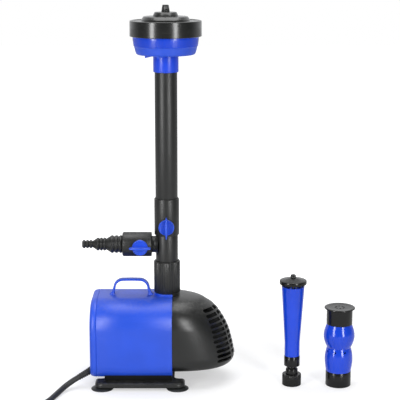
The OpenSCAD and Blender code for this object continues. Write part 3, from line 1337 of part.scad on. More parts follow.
// Plug at the end of the tail, on the line of its last two points
plug_aim = tail_route[len(tail_route) - 1] - tail_route[len(tail_route) - 2];
module at_plug() translate(tail_route[len(tail_route) - 1])
    rotate([0, acos(plug_aim[2] / norm(plug_aim)), atan2(plug_aim[1], plug_aim[0])]) children();
grip_z = plug_relief_l;
front_z = grip_z + plug_grip_l;
plug_face = front_z + plug_front_l;
module plug_body() color(black) at_plug() turned([[0, 0], [0.3 * plug_front_r, 0],
    [0.38 * plug_front_r, grip_z], [0.56 * plug_front_r, grip_z],
    [0.68 * plug_front_r, grip_z + plug_grip_l / 4],
    [0.56 * plug_front_r, grip_z + plug_grip_l / 2], [0.8 * plug_front_r, front_z],
    [0.94 * plug_front_r, front_z], [plug_front_r, front_z + valve_bevel],
    [plug_front_r, plug_face], [0, plug_face]]);
module plug_pins() color(brass) at_plug() for (s = [-1, 1]) translate([0, s * pin_span / 2, plug_face]) {
    cylinder(r = pin_r, h = pin_l - pin_r);
    translate([0, 0, pin_l - pin_r - slice]) cylinder(r1 = pin_r, r2 = pin_r / 2, h = pin_r);
}

motor_housing();
rear_cover();
stator_core();
stator_coils();
resin_block();
rotor_well();
rear_bush();
ceramic_shaft();
rotor_magnet();
impeller();
front_bush();
pump_chamber();
chamber_seal();
chamber_cover();
chamber_screws();
strainer_housing();
base_plate();
base_screws();
suction_cup_1();
suction_cup_2();
suction_cup_3();
suction_cup_4();
union_seal();
union_nut();
diverter_tee();
riser_valve_body();
riser_valve_knob();
riser_valve_o_ring();
side_valve_body();
side_valve_knob();
side_valve_o_ring();
barb_seal();
hose_barb();
riser_tube();
head_sleeve();
head_clip();
spray_bowl();
spray_cap();
centre_jet();
bell_nut();
bell_stem();
bell_collar();
bell_cone();
bell_rod();
deflector_disc();
deflector_knob();
tier_socket();
tier_bulbs();
tier_cap();
cable_gland();
power_cord();
cord_coil();
coil_ties();
cord_tail();
plug_body();
plug_pins();
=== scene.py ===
"""Looks of the fountain pump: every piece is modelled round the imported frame."""

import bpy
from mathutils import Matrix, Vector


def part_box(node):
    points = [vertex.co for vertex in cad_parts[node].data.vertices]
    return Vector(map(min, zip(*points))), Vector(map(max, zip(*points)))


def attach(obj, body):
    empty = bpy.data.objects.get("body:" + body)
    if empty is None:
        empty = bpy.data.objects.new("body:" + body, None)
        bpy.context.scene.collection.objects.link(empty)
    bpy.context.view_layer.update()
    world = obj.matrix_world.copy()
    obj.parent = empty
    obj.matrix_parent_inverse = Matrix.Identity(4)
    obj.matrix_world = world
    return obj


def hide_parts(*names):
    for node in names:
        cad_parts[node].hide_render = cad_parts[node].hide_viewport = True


bl_info = {
    "name": "Fountain Pump",
    "version": (1, 0, 0),
    "blender": (4, 5, 0),
    "location": "3D View > Sidebar > Fountain Pump",
    "description": "Models a submersible fountain pump with its diverter, riser and nozzles",
    "category": "Add Mesh",
}

from math import asin, atan2, cos, degrees, pi, radians, sin, sqrt

import bmesh
import bpy
from bpy.props import FloatProperty, FloatVectorProperty, IntProperty, PointerProperty
from mathutils import Matrix, Vector

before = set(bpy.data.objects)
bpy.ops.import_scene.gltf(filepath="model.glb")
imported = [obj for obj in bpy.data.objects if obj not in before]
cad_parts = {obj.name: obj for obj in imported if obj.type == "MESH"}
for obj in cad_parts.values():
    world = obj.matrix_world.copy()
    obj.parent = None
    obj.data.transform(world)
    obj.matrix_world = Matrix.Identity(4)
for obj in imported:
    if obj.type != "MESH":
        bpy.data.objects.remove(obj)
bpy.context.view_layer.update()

MM = 0.001
RISER_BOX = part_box("riser_tube")
RISER_X = (RISER_BOX[0].x + RISER_BOX[1].x) / 2
# To the frame's metres, from millimetres in the frame and from those off the riser's axis
GROUND = Matrix.Scale(MM, 4)
RISER = Matrix.Translation((RISER_X, 0, 0)) @ GROUND


def room(node):
    """Lowest and highest corner of a CAD node, in millimetres from the riser's axis."""
    low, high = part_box(node)
    away = Vector((RISER_X, 0, 0))
    return (low - away) / MM, (high - away) / MM


def middle(node):
    """Middle of a CAD node's box, in millimetres from the riser's axis."""
    low, high = room(node)
    return [(a + b) / 2 for a, b in zip(low, high)]


HOUSING_LOW, HOUSING_HIGH = room("motor_housing")
STRAINER_LOW, STRAINER_HIGH = room("strainer_housing")
COVER_LOW, COVER_HIGH = room("rear_cover")
HOUSING_TOP = COVER_HIGH.z
HALF = HOUSING_HIGH.y
# Where the strainer meets the housing, and where the strainer's own surface starts
SEAM = HOUSING_HIGH.x
STRAINER_START = SEAM + 0.3
# Half of the collar round the outlet is on the housing, and half on the strainer
OUTLET_ROOM, COLLAR_FOOT, COLLAR_TOP = 16.9, 126, 131.4
COLLAR = [(OUTLET_ROOM, COLLAR_FOOT), (18.6, COLLAR_FOOT), (18.6, COLLAR_TOP - 0.3), (18.3, COLLAR_TOP),
          (17.2, COLLAR_TOP), (OUTLET_ROOM, COLLAR_TOP - 0.3)]
# The spray bowl turns on the shoulder of its sleeve, and has a step round it
SLEEVE_SHOULDER = room("head_sleeve")[0].z + 24
BOWL_FOOT = SLEEVE_SHOULDER + 0.3
BOWL_STEP = 12.1


# Sizes and colours


class PumpSizes(bpy.types.PropertyGroup):
    """Sizes of the visible detail, in millimetres, and counts."""

    shoulder: FloatProperty(name="Shoulder", description="Radius of the housing's shoulders", default=41)
    heel: FloatProperty(name="Heel", description="Radius of the housing's lower edges", default=22)
    wall: FloatProperty(name="Wall", description="Wall of the housing", default=3)
    handle_width: FloatProperty(name="Handle width", description="Width of the handle's strap", default=10)
    handle_thickness: FloatProperty(
        name="Handle thickness", description="Thickness of the handle's strap", default=3.3)
    strainer_wall: FloatProperty(name="Strainer wall", description="Wall of the strainer", default=2.4)
    slot_low: FloatProperty(name="Lowest slot", description="Height of the lowest slot", default=36)
    slot_pitch: FloatProperty(name="Slot pitch", description="Distance from slot to slot", default=7.2)
    slot_height: FloatProperty(name="Slot height", description="Height of a slot", default=4.8)
    slot_rows: IntProperty(name="Slot rows", description="Rows of slots in the strainer", default=11)
    nut_ribs: IntProperty(name="Nut ribs", description="Ribs round the union nut", default=44)
    jet_ribs: IntProperty(name="Jet ribs", description="Ribs round the centre jet", default=16)
    cord: FloatProperty(name="Cord", description="Diameter of the mains cord", default=8)


class PumpColours(bpy.types.PropertyGroup):
    """Base colours of the finishes."""

    body_blue: FloatVectorProperty(
        name="Body blue", description="Housing and knobs", subtype="COLOR", default=(0.013, 0.070, 0.58))
    gloss_blue: FloatVectorProperty(
        name="Gloss blue", description="Nozzles and head", subtype="COLOR", default=(0.004, 0.048, 0.56))
    black: FloatVectorProperty(
        name="Black", description="Moulded black plastic", subtype="COLOR", default=(0.010, 0.0105, 0.010))
    cord_black: FloatVectorProperty(
        name="Cord black", description="Jacket of the cord", subtype="COLOR", default=(0.020, 0.021, 0.021))


# Finishes

FINISHES = {}
DUST = (0.34, 0.33, 0.31)


class Wire:
    """A shader socket that takes part in sums."""

    def __init__(self, graph, socket):
        self.graph, self.socket = graph, socket

    def maths(self, operation, first, second):
        return self.graph.node("Math", {"operation": operation}, {0: first, 1: second})

    def __add__(self, other):
        return self.maths("ADD", self, other)

    def __sub__(self, other):
        return self.maths("SUBTRACT", self, other)

    def __rsub__(self, other):
        return self.maths("SUBTRACT", other, self)

    def __mul__(self, other):
        return self.maths("MULTIPLY", self, other)


class Graph:
    """A node tree that is built by calls."""

    def __init__(self, tree):
        self.tree = tree

    def node(self, kind, settings={}, inputs={}, output=0):
        node = self.tree.nodes.new("ShaderNode" + kind)
        for key, value in settings.items():
            setattr(node, key, value)
        for key, value in inputs.items():
            self.feed(node.inputs[key], value)
        return Wire(self, node.outputs[output])

    def feed(self, socket, value):
        if isinstance(value, Wire):
            self.tree.links.new(value.socket, socket)
        else:
            socket.default_value = value

    def step(self, value, low, high):
        """0 below low, 1 above high, smooth between."""
        ends = {0: value, 1: low, 2: high, 3: 0.0, 4: 1.0}
        return self.node("MapRange", {"interpolation_type": "SMOOTHSTEP"}, ends)


class Finish(Graph):
    """A node material whose patterns lie on Object coordinates, in metres."""

    def __init__(self, name):
        self.material = bpy.data.materials.new(name)
        self.material.use_nodes = True
        super().__init__(self.material.node_tree)
        self.shader = self.tree.nodes["Principled BSDF"]
        self.place = self.node("TexCoord", output="Object")
        FINISHES[name] = self.material

    def set(self, **sockets):
        for key, value in sockets.items():
            self.feed(self.shader.inputs[key.replace("_", " ")], value)

    def along(self, axis):
        """Distance along an axis, 0 for X, 1 for Y and 2 for Z."""
        return self.node("SeparateXYZ", inputs={0: self.place}, output=axis)

    def noise(self, size, detail=3.0, stretch=(1, 1, 1), roughness=0.5):
        """Noise whose features are about size metres across, stretched along an axis."""
        place = self.place
        if stretch != (1, 1, 1):
            place = self.node("Mapping", inputs={0: place, 3: stretch})
        look = {0: place, "Scale": 1 / size, "Detail": detail, "Roughness": roughness}
        return self.node("TexNoise", inputs=look)

    def tint(self, factor, first, second):
        first, second = [c if isinstance(c, Wire) else (*c, 1.0)[:4] for c in (first, second)]
        return self.node("Mix", {"data_type": "RGBA"}, {0: factor, 6: first, 7: second}, 2)

    def bump(self, height, distance, strength=1.0):
        look = {"Height": height, "Distance": distance, "Strength": strength}
        self.set(Normal=self.node("Bump", inputs=look))


def shade(colour, factor):
    return tuple(min(1.0, c * factor) for c in colour)


def moulded(name, colour, roughness, grain=0.00003, coat=0.0, streak=None, dust=0.10, scuffs=0.5,
            ior=1.5, matt=None):
    """Injection-moulded plastic: fine mould grain, slow clouds, light scuffs and settled dust.

    A matt band, given by its top edge and its colour, lies below the rest; its colour is painted light, a
    lighter blue that stands in for the way light falls on the lower band."""
    f = Finish(name)
    cloud = f.noise(0.06, 4.0)
    height = f.noise(0.0006, 2.0)
    scuff = f.step(f.noise(0.02, 6.0, (1, 1, 7), 0.7), 0.60, 0.74) * f.step(f.noise(0.09), 0.45, 0.65)
    scuff = scuff * (0.22 * scuffs)
    up = f.node("SeparateXYZ", inputs={0: f.node("NewGeometry", output="Normal")}, output=2)
    dusty = f.step(up, 0.35, 1.0) * f.step(f.noise(0.004, 5.0), 0.35, 0.75)
    body = f.tint(f.step(cloud, 0.3, 0.7), shade(colour, 0.93), shade(colour, 1.07))
    body = f.tint(scuff, body, shade(tuple(c + 0.12 for c in colour), 1.3))
    rough = (cloud - 0.5) * 0.10 + scuff + dusty * 0.12 + roughness
    # Painted light: under the band's top edge the colour turns to a lighter blue that stands in for the light
    # on the bowl's lower band, and the band is also made rougher
    if matt:
        top, painted_light_colour = matt
        soft = 0.3 * MM
        below = 1 - f.step(f.along(2), top - soft, top + soft)
        body = f.tint(below, body, painted_light_colour)
        rough = rough + below * 0.15
    if streak:
        line = f.noise(0.0012, 2.0, streak)
        height = height * 0.5 + line * 2.0
        rough = rough + (line - 0.5) * 0.12
    f.set(Base_Color=f.tint(dusty * dust, body, DUST), Roughness=rough, IOR=ior)
    if coat:
        f.set(Coat_Weight=coat, Coat_Roughness=0.12)
    f.bump(height, grain, 0.6)


def rubber(name, colour, roughness):
    """Soft rubber or cord jacket: matt, finely pitted, with a dry bloom."""
    f = Finish(name)
    bloom = f.step(f.noise(0.03, 5.0), 0.42, 0.72)
    pits = f.noise(0.0009, 3.0)
    f.set(Base_Color=f.tint(bloom * 0.5, shade(colour, 0.9), tuple(c + 0.03 for c in colour)))
    f.set(Roughness=(pits - 0.5) * 0.12 + bloom * 0.08 + roughness, IOR=1.45)
    f.bump(pits, 0.00005, 0.5)


def metal(name, colour, roughness, stretch=(1, 1, 30)):
    """Drawn or turned metal, with fine lines along one axis."""
    f = Finish(name)
    line = f.noise(0.004, 4.0, stretch)
    stain = f.step(f.noise(0.02, 4.0), 0.45, 0.75)
    f.set(Base_Color=f.tint(stain * 0.5, colour, shade(colour, 0.7)), Metallic=1.0)
    f.set(Roughness=(line - 0.5) * 0.25 + stain * 0.12 + roughness)
    f.bump(line, 0.00003, 0.5)


def solid(name, dark, light, grain, roughness, spread):
    """Cast or fired material whose colour and gloss follow one noise, given by its size and detail."""
    f = Finish(name)
    fleck = f.noise(*grain)
    f.set(Base_Color=f.tint(fleck, dark, light), Roughness=fleck * spread + roughness)
    return f, fleck


def make_finishes(colours):
    blue, gloss, black, cord = [
        tuple(c) for c in (colours.body_blue, colours.gloss_blue, colours.black, colours.cord_black)]
    moulded("blue_body", blue, 0.36)
    moulded("blue_gloss", gloss, 0.16, grain=0.00001, coat=0.15, dust=0.04, scuffs=0.2)
    moulded("blue_head", gloss, 0.28, grain=0.00002, dust=0.05, scuffs=0.3)
    # The bowl's lower band is painted lighter in the body's blue, which stands in for the light falling on
    # that band
    matt = ((BOWL_FOOT + BOWL_STEP) * MM, shade(blue, 0.95))
    moulded("blue_bowl", shade(gloss, 0.9), 0.22, grain=0.00002, dust=0.05, scuffs=0.3, matt=matt)
    moulded("black_satin", black, 0.30, grain=0.00004, dust=0.12)
    moulded("black_base", shade(black, 1.1), 0.42, grain=0.00005)
    moulded("black_pipe", black, 0.38, streak=(12, 12, 0.3), dust=0.05, scuffs=0.3)
    moulded("black_side_pipe", black, 0.38, streak=(0.3, 12, 12), dust=0.05, scuffs=0.3)
    moulded("black_gloss", black, 0.24, grain=0.00001, coat=0.2, dust=0.08, scuffs=0.3)
    moulded("black_nozzle", shade(black, 0.5), 0.20, grain=0.00001, dust=0.06, scuffs=0.3, ior=1.42)
    moulded("tie_strap", (0.045, 0.045, 0.045), 0.45)
    rubber("cup_rubber", (0.020, 0.022, 0.022), 0.42)
    rubber("seal_rubber", (0.02, 0.02, 0.02), 0.6)
    rubber("cord_jacket", cord, 0.5)
    metal("screw_steel", (0.55, 0.55, 0.56), 0.3)
    metal("lamination_steel", (0.36, 0.37, 0.39), 0.42, (60, 1, 1))
    metal("copper_winding", (0.62, 0.27, 0.12), 0.3, (40, 1, 1))
    metal("pin_brass", (0.72, 0.66, 0.5), 0.25)
    solid("ferrite", (0.03, 0.03, 0.033), (0.09, 0.09, 0.1), (0.0008, 4.0), roughness=0.45, spread=0.2)
    solid("ceramic", (0.72, 0.70, 0.64), (0.84, 0.83, 0.78), (0.004, 5.0), roughness=0.12, spread=0.1)
    f, pour = solid("potting_resin", (0.03, 0.022, 0.014), (0.07, 0.05, 0.03), (0.012, 5.0),
                    roughness=0.25, spread=0.2)
    f.bump(pour, 0.0004, 0.5)


# Modelling

# Points of a mesh that lie closer than this are one, in millimetres
MERGE = 0.0005


def cleaned(bm):
    """Merges doubled points and turns all faces outwards."""
    bmesh.ops.remove_doubles(bm, verts=bm.verts, dist=MERGE)
    bmesh.ops.recalc_face_normals(bm, faces=bm.faces)
    return bm


def spun(profile, steps=96, closed=False):
    """A surface spun about Z from (radius, height) points; closed for a wall's whole outline."""
    bm = bmesh.new()
    points = [bm.verts.new((radius, 0, height)) for radius, height in profile]
    pairs = list(zip(points, points[1:])) + ([(points[-1], points[0])] if closed else [])
    edges = [bm.edges.new(pair) for pair in pairs]
    bmesh.ops.spin(bm, geom=points + edges, cent=(0, 0, 0), axis=(0, 0, 1), angle=2 * pi, steps=steps,
                   use_merge=True, use_normal_flip=False, use_duplicate=False)
    return cleaned(bm)


def rod(radius, low, high, steps=32):
    """A round rod about Z."""
    return spun([(0, low), (radius, low), (radius, high), (0, high)], steps)


def skin(rings, closed=True, caps=True):
    """A surface drawn through rings of points, each extruded from the last."""
    bm = bmesh.new()
    line = [bm.verts.new(point) for point in rings[0]]
    loop = line + line[:1] if closed else line
    edges = [bm.edges.new(pair) for pair in zip(loop, loop[1:])]
    start = line
    for ring in rings[1:]:
        grown = bmesh.ops.extrude_edge_only(bm, edges=edges)["geom"]
        fresh = {item for item in grown if isinstance(item, bmesh.types.BMVert)}
        line = [next(e.other_vert(v) for e in v.link_edges if e.other_vert(v) in fresh) for v in line]
        for vertex, point in zip(line, ring):
            vertex.co = point
        edges = [item for item in grown
                 if isinstance(item, bmesh.types.BMEdge) and fresh.issuperset(item.verts)]
    if caps:
        bm.faces.new(start)
        bm.faces.new(line)
    bmesh.ops.recalc_face_normals(bm, faces=bm.faces)
    return bm


def turned(bm, matrix):
    bmesh.ops.transform(bm, matrix=matrix, verts=bm.verts)
    return bm


def at(x, y, z):
    return Matrix.Translation((x, y, z))


def over(node):
    """Moves a shape about Z to a CAD node's middle."""
    x, y = middle(node)[:2]
    return at(x, y, 0)


def along(axis):
    """Turns the Z axis towards an axis."""
    return Vector((0, 0, 1)).rotation_difference(Vector(axis)).to_matrix().to_4x4()


def hole_circle(circle, count, radius, low, high, steps):
    """Rods that stand round a circle, to cut holes with."""
    angles = [2 * pi * i / count for i in range(count)]
    return [turned(rod(radius, low, high, steps), at(circle * cos(a), circle * sin(a), 0)) for a in angles]


def halved(bm, point, normal):
    """Cuts away what lies ahead of a plane, and closes the cut."""
    geom = bm.verts[:] + bm.edges[:] + bm.faces[:]
    cut = bmesh.ops.bisect_plane(bm, geom=geom, dist=0.0001, plane_co=point, plane_no=normal,
                                 clear_outer=True)
    edges = [item for item in cut["geom_cut"] if isinstance(item, bmesh.types.BMEdge)]
    bmesh.ops.holes_fill(bm, edges=edges, sides=0)
    bmesh.ops.recalc_face_normals(bm, faces=bm.faces)
    return bm


def joined(*parts):
    """One mesh that holds several closed surfaces."""
    whole = bmesh.new()
    for part in parts:
        passing = bpy.data.meshes.new("passing")
        part.to_mesh(passing)
        part.free()
        whole.from_mesh(passing)
        bpy.data.meshes.remove(passing)
    return whole


def placed(name, bm):
    """A scene object that takes a mesh over."""
    mesh = bpy.data.meshes.new(name)
    bm.to_mesh(mesh)
    bm.free()
    item = bpy.data.objects.new(name, mesh)
    bpy.context.scene.collection.objects.link(item)
    return item


def piece(name, bm, body, finish, *nodes, slot=None, place=RISER, edge=0.0, smooth=38):
    """Makes a finished piece of the object, which rides on a body and stands for CAD nodes.

    The slot argument is not used: its default, from the finish's colour such as blue_plastic, is worked out
    and dropped."""
    item = placed(name, turned(bm, place))
    for face in item.data.polygons:
        face.use_smooth = True
    item.data.set_sharp_from_angle(angle=radians(smooth))
    item.data.materials.append(FINISHES[finish])
    if edge:
        bevel = item.modifiers.new("Edges", "BEVEL")
        bevel.width, bevel.segments = edge * MM, 2
        bevel.limit_method, bevel.angle_limit = "ANGLE", radians(smooth)
        weigh = item.modifiers.new("Shading", "WEIGHTED_NORMAL")
        weigh.keep_sharp = False
    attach(item, body)
    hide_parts(*nodes)
    slot or finish.split("_")[0] + "_plastic"
    return item


def wall_piece(name, body, finish, node, outline, steps=96, stand=Matrix()):
    """Makes a piece that is one wall, spun from its whole outline over its CAD node's foot."""
    shape = turned(spun(outline, steps, closed=True), stand @ at(0, 0, room(node)[0].z))
    piece(name, shape, body, finish, node)


def cut_out(bm, cutter):
    """The first shape less the second, made by a Boolean modifier."""
    items = [placed("whole", bm), placed("cutter", cutter)]
    cut = items[0].modifiers.new("Cut", "BOOLEAN")
    cut.operation, cut.solver, cut.object = "DIFFERENCE", "EXACT", items[1]
    bpy.context.view_layer.update()
    shaped = items[0].evaluated_get(bpy.context.evaluated_depsgraph_get())
    result = bmesh.new()
    result.from_mesh(shaped.to_mesh())
    shaped.to_mesh_clear()
    for item in items:
        mesh = item.data
        bpy.data.objects.remove(item)
        bpy.data.meshes.remove(mesh)
    return result


def dress(finish, *nodes):
    """Gives CAD nodes a finish where their shape is right."""
    for node in nodes:
        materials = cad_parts[node].data.materials
        materials.clear()
        materials.append(FINISHES[finish])


def arc(centre, radius, start, end, steps):
    angles = [radians(start + (end - start) * i / steps) for i in range(steps + 1)]
    return [(centre[0] + radius * cos(a), centre[1] + radius * sin(a)) for a in angles]


def corner_arcs(wide, deep, radius, steps):
    """Points round an oblong whose rounded corners have their centres at (+-wide, +-deep)."""
    points = []
    for sx, sy, start in ((1, 1, 0), (-1, 1, 90), (-1, -1, 180), (1, -1, 270)):
        points += arc((sx * wide, sy * deep), radius, start, start + 90, steps)
    return points


def rounded_box_ring(centre, across, up, width, height, corner=0.42, steps=6):
    """A rounded oblong round a point, between two directions; its corner is a share of its sides."""
    reach = corner * min(width, height)
    points = corner_arcs(width / 2 - reach, height / 2 - reach, reach, steps)
    return [centre + across * x + up * y for x, y in points]


def smooth_curve(knots, values, at_value):
    """A curve through a table that keeps its rises and falls."""
    i = max(k for k in range(len(knots) - 1) if knots[k] <= at_value or k == 0)
    slopes = [(values[k + 1] - values[k]) / (knots[k + 1] - knots[k]) for k in range(len(knots) - 1)]

    def lean(k):
        before, after = slopes[max(k - 1, 0)], slopes[min(k, len(slopes) - 1)]
        return 0 if before * after <= 0 else 2 * before * after / (before + after)

    width = knots[i + 1] - knots[i]
    t = (at_value - knots[i]) / width
    return ((1 + 2 * t) * (1 - t) ** 2 * values[i] + t * (1 - t) ** 2 * width * lean(i)
            + t * t * (3 - 2 * t) * values[i + 1] + t * t * (t - 1) * width * lean(i + 1))


# Housing

# Shares of the rear cover's depth, and how far its outline is drawn in at each
COVER_DRAWS = [(0, 0.7), (0.015, 0.35), (0.06, 0), (0.2, 0.02), (0.35, 0.2), (0.48, 0.5), (0.6, 0.95),
               (0.7, 1.5), (0.79, 2.25), (0.87, 3.35), (0.93, 4.7), (0.97, 6.2), (0.992, 8), (1, 10)]


def section(inset, low, sizes):
    """Outline of the housing across the motor, as (y, z) points."""
    shoulder, heel = sizes.shoulder, sizes.heel
    wide, high = HALF - shoulder, HOUSING_TOP - shoulder
    return (arc((wide, high), shoulder - inset, 0, 90, 24) + arc((-wide, high), shoulder - inset, 90, 180, 24)
            + arc((heel - HALF, low + heel), heel - inset, 180, 270, 16)
            + arc((HALF - heel, low + heel), heel - inset, 270, 360, 16))


def sections(stations, sizes):
    """Rings of the housing's section at stations of (x, inset, low)."""
    return [[(x, y, z) for y, z in section(inset, low, sizes)] for x, inset, low in stations]


def handle_shape(sizes):
    """The strap handle, drawn along its middle line from foot to foot."""
    middle_x, half, bend, lean = -52, 29.5, 14.0, 3.0
    thick, flare_height, bow_rise = sizes.handle_thickness, 6.5, 0.6
    side, crown = half - thick / 2, HOUSING_HIGH.z - HOUSING_TOP - thick / 2
    radius = bend - thick / 2
    shoulder = side - lean
    leg = [(-side + lean * max(z, 0) / (crown - radius), z) for z in (-2.5, -0.6, 0.6, 1.6, 2.6, 3.4)]
    bow = arc((-shoulder + radius, crown - radius), radius, 180, 90, 12)
    line = leg + bow + [(x, crown) for x in (-8, 0, 8)] + [(-x, z) for x, z in reversed(leg + bow)]
    across = Vector((0, 1, 0))
    rings = []
    for i, (x, z) in enumerate(line):
        before, after = line[max(i - 1, 0)], line[min(i + 1, len(line) - 1)]
        course = Vector((after[0] - before[0], 0, after[1] - before[1])).normalized()
        flare = max(0.0, 1 - max(z, 0) / flare_height) ** 2
        rise = max(0.0, 1 - abs(x) / side) * bow_rise
        centre = Vector((x + middle_x, 0, HOUSING_TOP + z + rise))
        rings.append(rounded_box_ring(centre, across, course.cross(across), sizes.handle_width + 3 * flare,
                                      thick + 5.0 * flare))
    return skin(rings)


class PUMP_OT_housing(bpy.types.Operator):
    """Motor housing with its handle, and the rear cover"""

    bl_idname = "fountain_pump.housing"
    bl_label = "Housing"

    def execute(self, context):
        sizes = context.scene.pump_sizes
        low, wall, rear = HOUSING_LOW.z, sizes.wall, HOUSING_LOW.x
        shell_end, web_start, boss_top, screw_places = -20.0, 5, 33, (-85.67, -21.67)
        stations = [(rear, wall), (rear, 0.7), (rear + 0.15, 0.35), (rear + 0.6, 0.0), (-60, 0),
                    (SEAM - 0.5, 0.0), (SEAM - 0.15, 0.2), (SEAM, 0.6), (SEAM, wall), (shell_end, wall)]
        shell = skin(sections([(x, inset, low) for x, inset in stations], sizes))
        collar = halved(spun(COLLAR, closed=True), (SEAM, 0, 0), (1, 0, 0))
        web = skin(sections([(web_start, wall / 2, low), (SEAM, wall / 2, low)], sizes))
        web = halved(web, (0, 0, STRAINER_LOW.z + 2), (0, 0, 1))
        bosses = [turned(rod(radius=4, low=low + 1, high=boss_top), at(x, 0, 0)) for x in screw_places]
        piece("motor_housing_shell", joined(shell, collar, web, handle_shape(sizes), *bosses), "pump",
              "blue_body", "motor_housing")
        depth = rear - COVER_LOW.x
        # Past the seam, the underside is drawn in less than the other sides
        stations = [(rear - depth * share, draw, low - 0.55 * draw * (share > 0.1))
                    for share, draw in COVER_DRAWS]
        piece("rear_cover_shell", skin(sections(stations, sizes)), "pump", "blue_body", "rear_cover")
        return {"FINISHED"}


# Strainer

# Shares of the strainer's height, and how far forward it reaches at each
LEVEL_SHARES = [0, 0.01, 0.05, 0.095, 0.16, 0.23, 0.295, 0.37, 0.45, 0.535, 0.62, 0.705, 0.79, 0.87, 0.914,
                0.962, 0.981, 0.996]
REACH_SHARES = [0.61, 0.85, 0.937, 0.978, 1, 0.985, 0.973, 0.951, 0.929, 0.896, 0.852, 0.796, 0.73, 0.642,
                0.564, 0.476, 0.321, 0.155]
# A bar stands between these angles on either side of the front, in degrees
BAR_ANGLES = (12.3, 14.7)
# Angles of the columns of points on either side of the front, where slots may be and beside them
SLOT_COLUMNS = [3, 6, 9, *BAR_ANGLES, 17, 19.5, 22, 24, 26, 28, 30, 32, 34, 36, 38, 40]
SIDE_COLUMNS = [42, 45, 48, 53, 58, 63, 68, 73, 78, 82, 86, 90]
# Rows of points under the slots, from the strainer's foot, and over them, from the ground
FOOT_ROWS = (0, 0.3, 0.8, 1.6, 2.8, 4.5, 6.5, 9, 11)
TOP_ROWS = (113.5, 115.5, 117.5, 119.3, 121, 122.5, 123.8, 124.8, 125.6, 126.3, 126.9, 127.35)
# How far a slot's end is drawn in at each of its levels, in degrees, which rounds it
SLOT_END_DRAWS = (1.9, 0.5, 0, 0.5, 1.9)


def strainer_point(z, angle, inset, sizes):
    """Point of the strainer's surface at a height and an angle round the seam's middle."""
    low, high = STRAINER_LOW.z, HOUSING_TOP
    share = (z - low) / (high - low)
    shoulder, heel = sizes.shoulder, sizes.heel
    if z > high - shoulder:
        half = HALF - shoulder + sqrt(max(0, shoulder ** 2 - (z - high + shoulder) ** 2))
    elif z < low + heel:
        half = HALF - heel + sqrt(max(0, heel ** 2 - (low + heel - z) ** 2))
    else:
        half = HALF
    long = (STRAINER_HIGH.x - STRAINER_START) * smooth_curve(LEVEL_SHARES, REACH_SHARES, share) - inset
    power = 2.3 - 0.7 * share
    a = radians(angle)
    reach = (abs(cos(a) / long) ** power + abs(sin(a) / (half - inset)) ** power) ** (-1 / power)
    return Vector((STRAINER_START + reach * cos(a), reach * sin(a), z))


def strainer_angle(point):
    return degrees(atan2(point.y, point.x - STRAINER_START))


def strainer_shape(sizes):
    slots = [sizes.slot_low + i * sizes.slot_pitch for i in range(sizes.slot_rows)]
    levels = range(len(SLOT_END_DRAWS))
    heights = [STRAINER_LOW.z + row for row in FOOT_ROWS]
    for z in slots:
        heights += [z + sizes.slot_height * level / levels[-1] for level in levels]
    heights += TOP_ROWS
    half_columns = SLOT_COLUMNS + SIDE_COLUMNS
    columns = [-c for c in reversed(half_columns)] + [0] + half_columns
    bm = skin([[strainer_point(z, c, 0, sizes) for c in columns] for z in heights], closed=False)
    gone = []
    for i, z in enumerate(slots):
        # The seven upper rows of slots reach a column further back
        edge = 34 + 2 * (i > 3)
        for face in bm.faces:
            centre = face.calc_center_median()
            if len(face.verts) == 4 and z < centre.z < z + sizes.slot_height:
                angle = abs(strainer_angle(centre))
                if angle < BAR_ANGLES[0] or BAR_ANGLES[1] < angle < edge:
                    gone.append(face)
        for level, draw in zip(levels, SLOT_END_DRAWS):
            height = z + sizes.slot_height * level / levels[-1]
            for vertex in bm.verts:
                angle = strainer_angle(vertex.co)
                if abs(vertex.co.z - height) < 0.01 and abs(abs(angle) - edge) < 0.3:
                    vertex.co = strainer_point(height, angle * (1 - draw / edge), 0, sizes)
    bmesh.ops.delete(bm, geom=gone, context="FACES")
    top = max(bm.verts, key=lambda v: v.co.z)
    if sum(face.normal.z for face in top.link_faces) < 0:
        bmesh.ops.reverse_faces(bm, faces=bm.faces)
    bmesh.ops.solidify(bm, geom=bm.faces[:], thickness=sizes.strainer_wall)
    return bm


def strainer_shade_web(sizes):
    """Upright web behind the strainer's front slots, which stiffens it; it is also a dark sheet that keeps
    the slots dark inside, standing in for shade.
    """
    half_thick, inset, rows = 1.1, 1.2, 24
    back, low, high = room("chamber_cover")[1].x + 2, STRAINER_LOW.z + 1, STRAINER_LOW.z + 88
    heights = [low + (high - low) * i / rows for i in range(rows + 1)]
    outline = [(strainer_point(z, 0, inset, sizes).x, z) for z in heights]
    outline = [p for p in outline if p[0] > back + 1]
    outline += [(back, outline[-1][1]), (back, outline[0][1])]
    return skin([[(x, y, z) for x, z in outline] for y in (-half_thick, half_thick)])


class PUMP_OT_strainer(bpy.types.Operator):
    """Slotted strainer over the pump chamber"""

    bl_idname = "fountain_pump.strainer"
    bl_label = "Strainer"

    def execute(self, context):
        sizes = context.scene.pump_sizes
        shell = cut_out(strainer_shape(sizes), rod(OUTLET_ROOM, low=100, high=140, steps=64))
        collar = halved(spun(COLLAR, closed=True), (STRAINER_START, 0, 0), (-1, 0, 0))
        low, back, front = STRAINER_LOW.z + 1.5, SEAM - 4, STRAINER_START + 1
        outer, inner = 3.2, 5
        stations = [(back, outer), (front, outer), (front, inner), (back, inner), (back, outer)]
        lip = cleaned(skin(sections([(x, inset, low) for x, inset in stations], sizes), caps=False))
        gap = bmesh.new()
        block = at(0, 0, 130) @ Matrix.Diagonal((60, 2 * OUTLET_ROOM, 50, 1))
        bmesh.ops.create_cube(gap, size=1, matrix=block)
        # The web inside also keeps the slots dark: a sheet that stands in for shade
        piece("strainer_shell", joined(shell, collar, cut_out(lip, gap), strainer_shade_web(sizes)), "strainer",
              "black_satin", "strainer_housing", smooth=42)
        dress("black_satin", "pump_chamber", "chamber_cover")
        dress("seal_rubber", "chamber_seal")
        dress("screw_steel", "chamber_screws")
        return {"FINISHED"}


# Base

